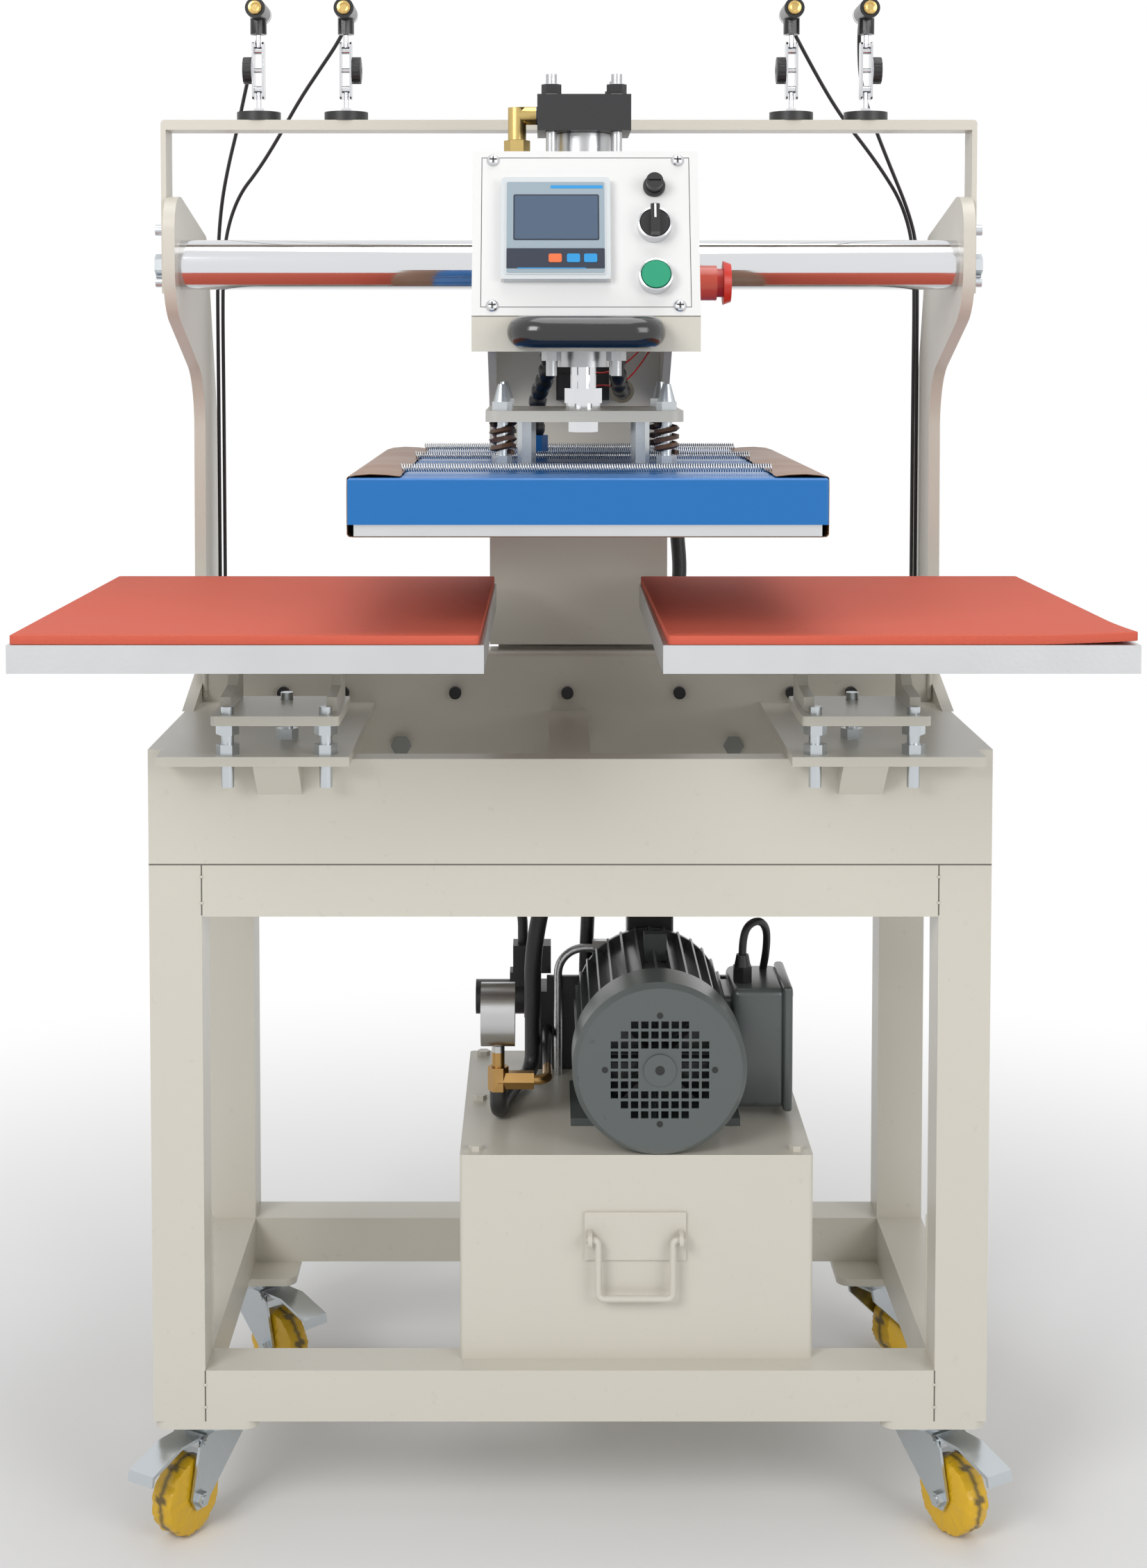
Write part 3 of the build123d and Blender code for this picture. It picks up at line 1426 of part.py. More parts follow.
pipe_d = 9.0
pipe_bend = 28.0
pipe_z = tank_top + 137.0
short_hose_d = 17.0
riser_d = 18.0
riser_x = -37.0
thin_riser_d = 15.0
loop_hose_d = 16.0
cable_d = 11.0
bar_low = guide_bar_z - guide_bar_tall / 2
steel_pipe_points = [
    (-10, port_y, tank_top),
    (-10, port_y, pipe_z),
    (port_block_x - 24.5, port_y, pipe_z),
]
steel_pipe = hose("steel pipe", steel_pipe_points, pipe_d, [pipe_bend])
with BuildPart() as fitting:
    with BuildSketch(Plane.YZ.offset(27)):
        with Locations((port_y, pipe_z)):
            RegularPolygon(10, 6)
            Circle(pipe_d / 2, mode=Mode.SUBTRACT)
    extrude(amount=37)
short_hose_points = [
    (gauge_x + gauge_deep / 2, gauge_y, tee_z - 10),
    (gauge_x + gauge_deep / 2, gauge_y, tank_top + 10),
    (-67, press_y + 165, tank_top + 10),
    (-55, press_y + 212, tank_top + 10),
    (riser_x, press_y + 250, tank_top + 12),
    (riser_x, press_y + 250, tank_top + 70),
]
short_hose_radii = [17] + bend_radii(short_hose_points)[1:]
short_hose = hose("short hose", short_hose_points, short_hose_d, short_hose_radii)
riser_points = [
    (riser_x, press_y + 250, tank_top + 70),
    (riser_x, press_y + 250, tank_top + 140),
    (-24, press_y + 258, tank_top + 205),
    (-10, press_y + 270, tank_top + 270),
    (-10, press_y + 270, base_top - rib_side),
]
riser_hose = hose("riser hose", riser_points, riser_d)
thin_riser_points = [
    (20, press_y + 316, tank_top),
    (20, press_y + 316, tank_top + 110),
    (26, press_y + 320, tank_top + 230),
    (26, press_y + 320, bar_low),
]
thin_riser = hose("thin riser", thin_riser_points, thin_riser_d)
solenoid_cable_points = [
    (-48, press_y + 319, tank_top + 132),
    (-48, press_y + 319, tank_top + 164),
    (-66, press_y + 321, tank_top + 214),
    (-74, press_y + 318, tank_top + 300),
    (-74, press_y + 318, bar_low),
]
solenoid_cable = hose("solenoid cable", solenoid_cable_points, cable_d)
loop_y = press_y + 392.0
loop_hose_points = [
    (port_block_x, press_y + 319, cart_top - 42),
    (port_block_x, press_y + 366, cart_top - 42),
    (port_block_x, press_y + 371, base_top - 65),
    (port_block_x + 12, press_y + 376, base_top + 40),
    (128, loop_y, base_top + 120),
    (120, loop_y, base_top + 216),
    (66, loop_y, base_top + 268),
    (66, column_y + column_depth + pad_gap, base_top + 268),
]
loop_hose_radii = bend_radii(loop_hose_points)[:-1] + [loop_hose_d]
loop_hose = hose("loop hose", loop_hose_points, loop_hose_d, loop_hose_radii)
hydraulic_lines = Compound(
    steel_pipe.solids()
    + fitting.part.solids()
    + short_hose.solids()
    + riser_hose.solids()
    + thin_riser.solids()
    + solenoid_cable.solids()
    + loop_hose.solids()
)
hydraulic_lines.label = "hydraulic_lines"
export_step(hydraulic_lines, "parts/hydraulic_lines.step")


# The laser cables: from a laser's back end, behind the cheek, straight down to the base.
# Each point is X, the distance behind the press axis, and the drop below the laser's axis.
laser_cable_d = 4.0
laser_back = shaft_y + laser_length / 2
cable_routes = [
    [
        (-312, laser_back, 0), (-312, 222, 0), (-324, 248, 26), (-337, 278, 60),
        (-352, 312, 105), (-366, 345, 140), (-378, 376, 178), (-384, 390, 222),
        (-386, 394, 275), (-385, 393, 420),
    ],
    [
        (-224, laser_back, 0), (-224, 222, 0), (-238, 243, 22), (-259, 265, 47),
        (-283, 290, 76), (-309, 321, 113), (-334, 350, 145), (-360, 376, 172),
        (-376, 388, 215), (-380, 391, 268), (-379, 390, 420),
    ],
    [
        (224, laser_back, 0), (224, 222, 0), (238, 241, 21), (257, 262, 49),
        (277, 286, 76), (296, 308, 98), (320, 332, 122), (345, 356, 150),
        (366, 377, 178), (380, 388, 216), (384, 391, 265), (383, 392, 420),
    ],
    [
        (299, laser_back, 0), (299, 222, 0), (301, 243, 27), (306, 268, 58),
        (317, 292, 84), (333, 320, 113), (349, 346, 141), (374, 380, 186),
        (386, 393, 222), (388, 396, 268), (388, 397, 420),
    ],
]
cables = []
for number, route in enumerate(cable_routes, start=1):
    points = [(x, press_y + y, laser_axis_z - drop) for x, y, drop in route]
    x, y, z = points[-1]
    points.append((x, y, base_top))
    cables += hose(f"laser cable {number}", points, laser_cable_d).solids()
laser_cables = Compound(cables)
laser_cables.label = "laser_cables"
export_step(laser_cables, "parts/laser_cables.step")


# A caster, built on its swivel axis with the wheel trailing along +X, then placed four times
wheel_d = 76.0
wheel_width = 30.0
wheel_trail = 42.0
axle_d = 8.1
wheel_gap = 1.5
fork_plate = 3.0
race_d = 56.0
race_tall = 12.0
swivel_gap = 0.2
pedal_pin_d = 5.0
pedal_x = 34.0
pedal_z = caster_height - 18.0
pedal_width = 30.0
pedal_reach = 105.0
fork_half = wheel_width / 2 + wheel_gap
axle_z = wheel_d / 2
crown_z = caster_height - swivel_gap - race_tall
with BuildPart() as fork:
    with BuildSketch(Plane.XZ.offset(-(fork_half + fork_plate))):
        with BuildLine():
            Polyline(
                (-race_d / 2, crown_z),
                (race_d / 2 + 2, crown_z),
                (pedal_x + 8, pedal_z - 2),
                (wheel_trail + 12, axle_z + 2),
                (wheel_trail + 6, axle_z - 10),
                (wheel_trail - 6, axle_z - 10),
                (-race_d / 2 + 4, crown_z - 14),
                close=True,
            )
        make_face()
        with Locations((pedal_x, pedal_z)):
            Circle(pedal_pin_d / 2 + running_gap, mode=Mode.SUBTRACT)
    extrude(amount=2 * (fork_half + fork_plate))
    with BuildSketch(Plane.XZ.offset(-fork_half)):
        Rectangle(300, 2 * (crown_z - fork_plate))
        with Locations((race_d / 2 + 100, 0)):
            Rectangle(200, 2 * crown_z + 2)
    extrude(amount=2 * fork_half, mode=Mode.SUBTRACT)
    with BuildSketch(Plane.XY.offset(crown_z)):
        Circle(race_d / 2)
    extrude(amount=race_tall)
    with BuildSketch(Plane.XZ.offset(-(fork_half + fork_plate + 6))):
        with Locations((wheel_trail, axle_z)):
            Circle(axle_d / 2)
    extrude(amount=2 * (fork_half + fork_plate + 6))
    with BuildSketch(Plane.XZ.offset(-(fork_half + fork_plate + 5))):
        with Locations((wheel_trail, axle_z)):
            RegularPolygon(7.5, 6)
    extrude(amount=5)
    with BuildSketch(Plane.XZ.offset(fork_half + fork_plate)):
        with Locations((wheel_trail, axle_z)):
            RegularPolygon(7.5, 6)
    extrude(amount=5)

with BuildPart() as wheel:
    with BuildSketch(Plane.XZ.offset(-wheel_width / 2)):
        with Locations((wheel_trail, axle_z)):
            Circle(wheel_d / 2)
            Circle(axle_d / 2 + running_gap, mode=Mode.SUBTRACT)
    extrude(amount=wheel_width)
    rims = wheel.edges().filter_by(GeomType.CIRCLE).filter_by(lambda e: e.radius > 30)
    chamfer(rims, 3)

with BuildPart() as pedal:
    with BuildSketch(Plane.XZ.offset(-pedal_width / 2)):
        with BuildLine():
            Polyline(
                (pedal_x - 2, pedal_z + 5),
                (pedal_x + 30, pedal_z + 6),
                (pedal_reach, pedal_z - 6),
                (pedal_reach + 2, pedal_z - 16),
                (pedal_reach - 1, pedal_z - 16),
                (pedal_reach - 3, pedal_z - 9),
                (pedal_x + 30, pedal_z + 3),
                (pedal_x + 5, pedal_z + 2),
                (pedal_x + 5, pedal_z - 5),
                (pedal_x - 5, pedal_z - 5),
                (pedal_x - 5, pedal_z + 3),
                close=True,
            )
        make_face()
    extrude(amount=pedal_width)
    with BuildSketch(Plane.XZ.offset(-(fork_half + fork_plate + 1))):
        with Locations((pedal_x, pedal_z)):
            Circle(pedal_pin_d / 2)
    extrude(amount=2 * (fork_half + fork_plate + 1))

caster_spots = [
    ("front_left", -1, -1, -122),
    ("front_right", 1, -1, -58),
    ("rear_left", -1, 1, -45),
    ("rear_right", 1, 1, 40),
]
caster_reach_x = (cart_width - caster_plate) / 2
caster_reach_y = (cart_depth - caster_plate) / 2
for name, side, end, heading in caster_spots:
    spot = Location((side * caster_reach_x, cart_mid_y + end * caster_reach_y, 0), (0, 0, heading))
    for piece, source in (("fork", fork), ("wheel", wheel), ("pedal", pedal)):
        copy = source.part.moved(spot)
        copy.label = f"{piece}_{name}"
        export_step(copy, f"parts/{piece}_{name}.step")
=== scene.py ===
"""The hydraulic heat press, dressed over its CAD frame: paint, platings, foam, cloth, film and cables."""

import math
import random

import bmesh
import bpy
from mathutils import Matrix, Vector


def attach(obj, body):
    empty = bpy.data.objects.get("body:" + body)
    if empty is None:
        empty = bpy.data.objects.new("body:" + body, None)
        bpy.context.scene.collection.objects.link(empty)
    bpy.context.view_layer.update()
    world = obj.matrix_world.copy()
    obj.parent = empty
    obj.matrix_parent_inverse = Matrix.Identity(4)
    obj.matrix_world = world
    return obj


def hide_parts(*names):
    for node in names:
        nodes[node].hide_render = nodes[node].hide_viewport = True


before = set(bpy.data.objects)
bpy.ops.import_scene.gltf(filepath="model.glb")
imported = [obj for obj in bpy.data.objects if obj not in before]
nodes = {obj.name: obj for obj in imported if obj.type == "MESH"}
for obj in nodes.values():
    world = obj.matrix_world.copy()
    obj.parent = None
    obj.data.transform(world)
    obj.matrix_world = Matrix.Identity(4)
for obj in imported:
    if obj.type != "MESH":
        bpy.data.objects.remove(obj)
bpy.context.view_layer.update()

# The camera stands in front of the press at the height of its shaft, turned slightly down,
# with a long lens and a shift, as the photograph was taken.
camera_data = bpy.data.cameras.new("camera")
camera_data.sensor_width = 36.0
camera_data.lens = 53.48
camera_data.shift_x = 0.0181
camera_data.shift_y = -0.2045
camera_data.clip_end = 60.0
camera = bpy.data.objects.new("camera", camera_data)
camera.location = (-0.0238, -2.298, 1.153)
camera.rotation_euler = (math.radians(87.0), 0.0, 0.0)
bpy.context.scene.collection.objects.link(camera)
bpy.context.scene.camera = camera
bpy.context.scene.view_settings.view_transform = "Standard"


# Laser cables: limp black two-core leads, four millimetres thick. Each leaves the back of its
# laser, falls behind the cheek and goes through the base's top. The points are the route's own, in
# millimetres: across, back from the ram's axis and down from the laser.
press_y = -0.110
laser_z = 1.484


def add(tree, kind, inputs=None, **settings):
    made = tree.nodes.new(kind)
    for key, value in settings.items():
        setattr(made, key, value)
    for key, value in (inputs or {}).items():
        socket = made.inputs[key]
        if isinstance(value, bpy.types.NodeSocket):
            tree.links.new(value, socket)
        else:
            socket.default_value = value
    return made


def new_group(name, sockets_in, sockets_out):
    tree = bpy.data.node_groups.new(name, "ShaderNodeTree")
    kinds = {"value": "NodeSocketFloat", "colour": "NodeSocketColor", "vector": "NodeSocketVector"}
    for label, kind, default in sockets_in:
        socket = tree.interface.new_socket(label, in_out="INPUT", socket_type=kinds[kind])
        socket.default_value = default
    for label, kind in sockets_out:
        tree.interface.new_socket(label, in_out="OUTPUT", socket_type=kinds[kind])
    return tree, tree.nodes.new("NodeGroupInput"), tree.nodes.new("NodeGroupOutput")


# surface: colour and gloss that drift a little over the piece, with a fine grain for the bump
surface_group, g_in, g_out = new_group(
    "surface drift",
    [
        ("Position", "vector", (0, 0, 0)),
        ("Colour", "colour", (0.5, 0.5, 0.5, 1)),
        ("Drift", "value", 0.06),
        ("Roughness", "value", 0.4),
        ("Roughness drift", "value", 0.08),
        ("Grain scale", "value", 900.0),
        ("Speck", "value", 0.0),
    ],
    [("Colour", "colour"), ("Roughness", "value"), ("Height", "value")],
)
broad = add(
    surface_group, "ShaderNodeTexNoise", {"Vector": g_in.outputs["Position"], "Scale": 7.0, "Detail": 4.0},
)
fine = add(
    surface_group, "ShaderNodeTexNoise",
    {"Vector": g_in.outputs["Position"], "Scale": g_in.outputs["Grain scale"], "Detail": 2.0},
)
specks = add(
    surface_group, "ShaderNodeTexNoise", {"Vector": g_in.outputs["Position"], "Scale": 95.0, "Detail": 3.0},
)
centred = add(surface_group, "ShaderNodeMath", {0: broad.outputs["Fac"], 1: 0.5}, operation="SUBTRACT")
shade = add(
    surface_group, "ShaderNodeMath", {0: centred.outputs[0], 1: g_in.outputs["Drift"], 2: 1.0},
    operation="MULTIPLY_ADD",
)
speck_mask = add(
    surface_group, "ShaderNodeMapRange",
    {"Value": specks.outputs["Fac"], "From Min": 0.68, "From Max": 0.74},
)
speck_dark = add(
    surface_group, "ShaderNodeMath", {0: speck_mask.outputs[0], 1: g_in.outputs["Speck"]},
    operation="MULTIPLY",
)
shade_less = add(
    surface_group, "ShaderNodeMath", {0: shade.outputs[0], 1: speck_dark.outputs[0]}, operation="SUBTRACT",
)
tinted = add(
    surface_group, "ShaderNodeVectorMath", {0: g_in.outputs["Colour"], "Scale": shade_less.outputs[0]},
    operation="SCALE",
)
rough = add(
    surface_group, "ShaderNodeMath",
    {0: centred.outputs[0], 1: g_in.outputs["Roughness drift"], 2: g_in.outputs["Roughness"]},
    operation="MULTIPLY_ADD",
)
surface_group.links.new(tinted.outputs[0], g_out.inputs["Colour"])
surface_group.links.new(rough.outputs[0], g_out.inputs["Roughness"])
surface_group.links.new(fine.outputs["Fac"], g_out.inputs["Height"])

# box mask: one inside a box of the model, nothing outside it
mask_group, m_in, m_out = new_group(
    "box mask",
    [("Position", "vector", (0, 0, 0)), ("Low", "vector", (0, 0, 0)), ("High", "vector", (0, 0, 0))],
    [("Mask", "value")],
)
above = add(
    mask_group, "ShaderNodeVectorMath", {0: m_in.outputs["Position"], 1: m_in.outputs["Low"]},
    operation="SUBTRACT",
)
below = add(
    mask_group, "ShaderNodeVectorMath", {0: m_in.outputs["High"], 1: m_in.outputs["Position"]},
    operation="SUBTRACT",
)
least = add(
    mask_group, "ShaderNodeVectorMath", {0: above.outputs[0], 1: below.outputs[0]}, operation="MINIMUM",
)
parts = add(mask_group, "ShaderNodeSeparateXYZ", {0: least.outputs[0]})
low_xy = add(mask_group, "ShaderNodeMath", {0: parts.outputs[0], 1: parts.outputs[1]}, operation="MINIMUM")
low_xyz = add(
    mask_group, "ShaderNodeMath", {0: low_xy.outputs[0], 1: parts.outputs[2]}, operation="MINIMUM",
)
inside = add(mask_group, "ShaderNodeMath", {0: low_xyz.outputs[0], 1: 0.0}, operation="GREATER_THAN")
mask_group.links.new(inside.outputs[0], m_out.inputs["Mask"])


def finish_of(
    name, colour, roughness, metal=0.0, drift=0.06, rough_drift=0.1, grain=900.0, bump=0.0001, speck=0.0,
    **sockets,
):
    made = bpy.data.materials.new(name)
    made.use_nodes = True
    tree = made.node_tree
    shader = tree.nodes["Principled BSDF"]
    place = add(tree, "ShaderNodeTexCoord")
    body = add(tree, "ShaderNodeGroup", node_tree=surface_group)
    tree.links.new(place.outputs["Object"], body.inputs["Position"])
    body.inputs["Colour"].default_value = (*colour, 1)
    for label, value in (
        ("Drift", drift), ("Roughness", roughness), ("Roughness drift", rough_drift),
        ("Grain scale", grain), ("Speck", speck),
    ):
        body.inputs[label].default_value = value
    tree.links.new(body.outputs["Colour"], shader.inputs["Base Color"])
    tree.links.new(body.outputs["Roughness"], shader.inputs["Roughness"])
    shader.inputs["Metallic"].default_value = metal
    for label, value in sockets.items():
        shader.inputs[label.replace("_", " ")].default_value = value
    relief = add(
        tree, "ShaderNodeBump", {"Height": body.outputs["Height"], "Distance": bump, "Strength": 1.0},
    )
    tree.links.new(relief.outputs["Normal"], shader.inputs["Normal"])
    return made


def over_box(material, low, high, colour, roughness=None, metal=None):
    """Inside the box low to high the material takes another colour, gloss and metal."""
    tree = material.node_tree
    shader = tree.nodes["Principled BSDF"]
    place = [n for n in tree.nodes if n.type == "TEX_COORD"][0]
    mask = add(tree, "ShaderNodeGroup", node_tree=mask_group)
    tree.links.new(place.outputs["Object"], mask.inputs["Position"])
    mask.inputs["Low"].default_value = low
    mask.inputs["High"].default_value = high
    old = shader.inputs["Base Color"].links[0].from_socket
    mixed = add(tree, "ShaderNodeMix", {0: mask.outputs[0], 6: old, 7: (*colour, 1)}, data_type="RGBA")
    tree.links.new(mixed.outputs[2], shader.inputs["Base Color"])
    for label, value in (("Roughness", roughness), ("Metallic", metal)):
        if value is None:
            continue
        socket = shader.inputs[label]
        start = socket.links[0].from_socket if socket.is_linked else socket.default_value
        turn = add(tree, "ShaderNodeMix", {0: mask.outputs[0], 2: start, 3: value}, data_type="FLOAT")
        tree.links.new(turn.outputs[0], socket)


base_top = 0.758
rubber = finish_of("black rubber", (0.018, 0.018, 0.019), 0.42, grain=1400.0)
cable_routes = [
    [
        (-312, 201.5, 0), (-312, 222, 0), (-324, 248, 26), (-337, 278, 60),
        (-352, 312, 105), (-366, 345, 140), (-378, 376, 178), (-384, 390, 222),
        (-386, 394, 275), (-385, 393, 420),
    ],
    [
        (-224, 201.5, 0), (-224, 222, 0), (-238, 243, 22), (-259, 265, 47),
        (-283, 290, 76), (-309, 321, 113), (-334, 350, 145), (-360, 376, 172),
        (-376, 388, 215), (-380, 391, 268), (-379, 390, 420),
    ],
    [
        (224, 201.5, 0), (224, 222, 0), (238, 241, 21), (257, 262, 49),
        (277, 286, 76), (296, 308, 98), (320, 332, 122), (345, 356, 150),
        (366, 377, 178), (380, 388, 216), (384, 391, 265), (383, 392, 420),
    ],
    [
        (299, 201.5, 0), (299, 222, 0), (301, 243, 27), (306, 268, 58),
        (317, 292, 84), (333, 320, 113), (349, 346, 141), (374, 380, 186),
        (386, 393, 222), (388, 396, 268), (388, 397, 420),
    ],
]


def lead(name, points, diameter, material, body):
    line = bpy.data.curves.new(name, "CURVE")
    line.dimensions = "3D"
    line.bevel_depth = diameter / 2
    line.bevel_resolution = 3
    line.use_fill_caps = True
    spline = line.splines.new("NURBS")
    spline.points.add(len(points) - 1)
    for point, place in zip(spline.points, points):
        point.co = (*place, 1)
    spline.order_u = 3
    spline.use_endpoint_u = True
    spline.resolution_u = 12
    line.materials.append(material)
    made = bpy.data.objects.new(name, line)
    bpy.context.scene.collection.objects.link(made)
    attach(made, body)
    return made


def run_length(piece):
    bare = piece.data.copy()
    bare.bevel_depth = 0
    holder = bpy.data.objects.new("measure", bare)
    mesh = bpy.data.meshes.new_from_object(holder)
    total = sum(
        (mesh.vertices[e.vertices[0]].co - mesh.vertices[e.vertices[1]].co).length for e in mesh.edges
    )
    bpy.data.meshes.remove(mesh)
    bpy.data.objects.remove(holder)
    bpy.data.curves.remove(bare)
    return total


for number, route in enumerate(cable_routes, start=1):
    points = [(x / 1000, press_y + y / 1000, laser_z - drop / 1000) for x, y, drop in route]
    points.append((points[-1][0], points[-1][1], base_top))
    cable = lead(f"laser_lead_{number}", points, 0.004, rubber, "frame")
    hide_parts("laser_cables")
    run_length(cable)

# The studio: a pale floor that runs into a pale backdrop, a broad lamp over each shoulder of
# the camera and one overhead, and a pale sky that fills the shadows.
world = bpy.data.worlds.new("studio")
bpy.context.scene.world = world
world.use_nodes = True
sky = world.node_tree.nodes["Background"]
sky.inputs["Color"].default_value = (1, 1, 1, 1)
rays = add(world.node_tree, "ShaderNodeLightPath")
seen = add(
    world.node_tree, "ShaderNodeMath", {0: rays.outputs["Is Camera Ray"], 1: rays.outputs["Is Glossy Ray"]},
    operation="MAXIMUM",
)
seen_too = add(
    world.node_tree, "ShaderNodeMath", {0: seen.outputs[0], 1: rays.outputs["Is Transmission Ray"]},
    operation="MAXIMUM",
)
sky_level = add(
    world.node_tree, "ShaderNodeMapRange", {"Value": seen_too.outputs[0], "To Min": 0.42, "To Max": 1.0},
)
world.node_tree.links.new(sky_level.outputs[0], sky.inputs["Strength"])
for name, place, aim, size, power in (
    ("key", (-1.9, -2.9, 2.6), (0, 0, 0.8), 1.6, 62.0),
    ("fill", (2.3, -2.6, 1.9), (0, 0, 0.8), 1.8, 34.0),
    ("top", (0.2, -0.2, 3.6), (0, 0, 0.6), 2.2, 36.0),
):
    lamp_data = bpy.data.lights.new(name, "AREA")
    lamp_data.size = size
    lamp_data.energy = power
    lamp = bpy.data.objects.new(name, lamp_data)
    lamp.location = place
    lamp.rotation_euler = (Vector(aim) - Vector(place)).to_track_quat("-Z", "Y").to_euler()
    bpy.context.scene.collection.objects.link(lamp)
floor_mesh = bmesh.new()
bmesh.ops.create_grid(floor_mesh, x_segments=1, y_segments=1, size=12.0)
floor_data = bpy.data.meshes.new("floor")
floor_mesh.to_mesh(floor_data)
floor_mesh.free()
floor = bpy.data.objects.new("floor", floor_data)
bpy.context.scene.collection.objects.link(floor)
floor_finish = bpy.data.materials.new("pale floor")
floor_finish.use_nodes = True
floor_shader = floor_finish.node_tree.nodes["Principled BSDF"]
floor_shader.inputs["Base Color"].default_value = (0.86, 0.86, 0.86, 1)
floor_shader.inputs["Roughness"].default_value = 0.85
# far from the machine the floor is seen as white, so that it meets the white sky without a line
floor_tree = floor_finish.node_tree
spot = add(floor_tree, "ShaderNodeTexCoord")
away = add(floor_tree, "ShaderNodeVectorMath", {0: spot.outputs["Object"]}, operation="LENGTH")
far = add(
    floor_tree, "ShaderNodeMapRange", {"Value": away.outputs["Value"], "From Min": 0.55, "From Max": 1.9},
    interpolation_type="SMOOTHSTEP",
)
floor_rays = add(floor_tree, "ShaderNodeLightPath")
looked_at = add(
    floor_tree, "ShaderNodeMath",
    {0: floor_rays.outputs["Is Camera Ray"], 1: floor_rays.outputs["Is Glossy Ray"]}, operation="MAXIMUM",
)
share = add(
    floor_tree, "ShaderNodeMath", {0: far.outputs[0], 1: looked_at.outputs[0]}, operation="MULTIPLY",
)
white = add(floor_tree, "ShaderNodeEmission", {"Color": (1, 1, 1, 1), "Strength": 1.0})
floor_mix = add(
    floor_tree, "ShaderNodeMixShader",
    {0: share.outputs[0], 1: floor_shader.outputs[0], 2: white.outputs[0]},
)
floor_end = floor_tree.nodes["Material Output"]
floor_tree.links.new(floor_mix.outputs[0], floor_end.inputs["Surface"])
floor_data.materials.append(floor_finish)

# Rounded faces are shaded smooth, and edges sharper than thirty degrees stay crisp. One small
# node modifier does this for every carried-over piece and for the new ones.
smooth_tree = bpy.data.node_groups.new("smooth by edge", "GeometryNodeTree")
smooth_tree.interface.new_socket("Geometry", in_out="INPUT", socket_type="NodeSocketGeometry")
smooth_tree.interface.new_socket("Geometry", in_out="OUTPUT", socket_type="NodeSocketGeometry")
s_in = smooth_tree.nodes.new("NodeGroupInput")
s_out = smooth_tree.nodes.new("NodeGroupOutput")
joined = add(smooth_tree, "GeometryNodeMergeByDistance", {"Geometry": s_in.outputs[0], "Distance": 0.00001})
angle = add(smooth_tree, "GeometryNodeInputMeshEdgeAngle")
gentle = add(
    smooth_tree, "FunctionNodeCompare", {0: angle.outputs["Unsigned Angle"], 1: math.radians(30)},
    operation="LESS_THAN", data_type="FLOAT",
)
beside = add(smooth_tree, "GeometryNodeInputMeshEdgeNeighbors")
paired = add(
    smooth_tree, "FunctionNodeCompare", {2: beside.outputs[0], 3: 2}, operation="EQUAL", data_type="INT",
)
blended = add(
    smooth_tree, "FunctionNodeBooleanMath", {0: gentle.outputs[0], 1: paired.outputs[0]}, operation="AND",
)
by_edge = add(
    smooth_tree, "GeometryNodeSetShadeSmooth",
    {"Geometry": joined.outputs[0], "Shade Smooth": blended.outputs[0]}, domain="EDGE",
)
by_face = add(
    smooth_tree, "GeometryNodeSetShadeSmooth", {"Geometry": by_edge.outputs[0], "Shade Smooth": True},
    domain="FACE",
)
smooth_tree.links.new(by_face.outputs[0], s_out.inputs[0])


def smooth(piece):
    step = piece.modifiers.new("smooth by edge", "NODES")
    step.node_group = smooth_tree


def dress(material, *names):
    for name in names:
        piece = nodes[name]
        if not piece.material_slots:
            piece.data.materials.append(material)
        for held in piece.material_slots:
            held.link = "OBJECT"
            held.material = material
        smooth(piece)


def piece_of(name, shape, body, material):
    bmesh.ops.remove_doubles(shape, verts=shape.verts, dist=1e-6)
    bmesh.ops.recalc_face_normals(shape, faces=shape.faces)
    data = bpy.data.meshes.new(name)
    shape.to_mesh(data)
    shape.free()
    data.materials.append(material)
    made = bpy.data.objects.new(name, data)
    bpy.context.scene.collection.objects.link(made)
    smooth(made)
    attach(made, body)
    return made


# Cart, base, shelves, brackets, cheeks, laser bar and head: welded tube and bent plate, sprayed
# in one coat of cream enamel with a faint orange peel. The tank, its bail and the pressure plate
# are in the same coat. Fine dark lines of painted shade mark the gap where the base sits on the
# cart and the joints where the legs and rails meet.
cream = finish_of(
    "cream enamel", (0.63, 0.60, 0.525), 0.34, drift=0.035, rough_drift=0.12, grain=420.0, bump=0.00006,
    speck=0.05, Coat_Weight=0.12, Coat_Roughness=0.25,
)
painted_seam_shade = (0.13, 0.12, 0.10)
# painted shade: thin dark bands in the cream stand for the shade in the gap between base and cart, and at
# the leg and rail joints below
over_box(cream, (-0.402, -0.2, 0.6562), (0.402, 0.4, 0.6577), painted_seam_shade)
for side in (-1, 1):
    over_box(cream, (side * 0.35 - 0.0007, -0.111, 0.608), (side * 0.35 + 0.0007, -0.109, 0.657), painted_seam_shade)
    over_box(cream, (side * 0.35 - 0.0007, -0.111, 0.116), (side * 0.35 + 0.0007, -0.109, 0.166), painted_seam_shade)
dress(
    cream, "cart_frame", "base_box", "platen_shelves", "side_cheeks", "laser_gantry", "oil_tank",
    "bail_handle", "head_column", "head_shell", "pressure_plate", "platen_brackets",
)

# Lower platens and heater plate: milled aluminium plates with a saw-cut edge, left bare, dull and
# lightly scratched. The lower ones are fixed to their brackets from below.
aluminium = finish_of(
    "milled aluminium", (0.62, 0.63, 0.64), 0.36, metal=1.0, drift=0.14, rough_drift=0.22, grain=240.0,
    bump=0.0001,
)
dress(aluminium, "lower_platens", "heater_plate")


# Silicone pads: open-cell sponge rubber, orange-red, cut a little smaller than the platen and
# laid on loose, so that a corner of the right one curls up.
def round_edges(shape, edges, radius, segments):
    bmesh.ops.bevel(
        shape, geom=edges, offset=radius, offset_type="OFFSET", affect="EDGES", segments=segments,
        profile=0.5, material=-1,
    )


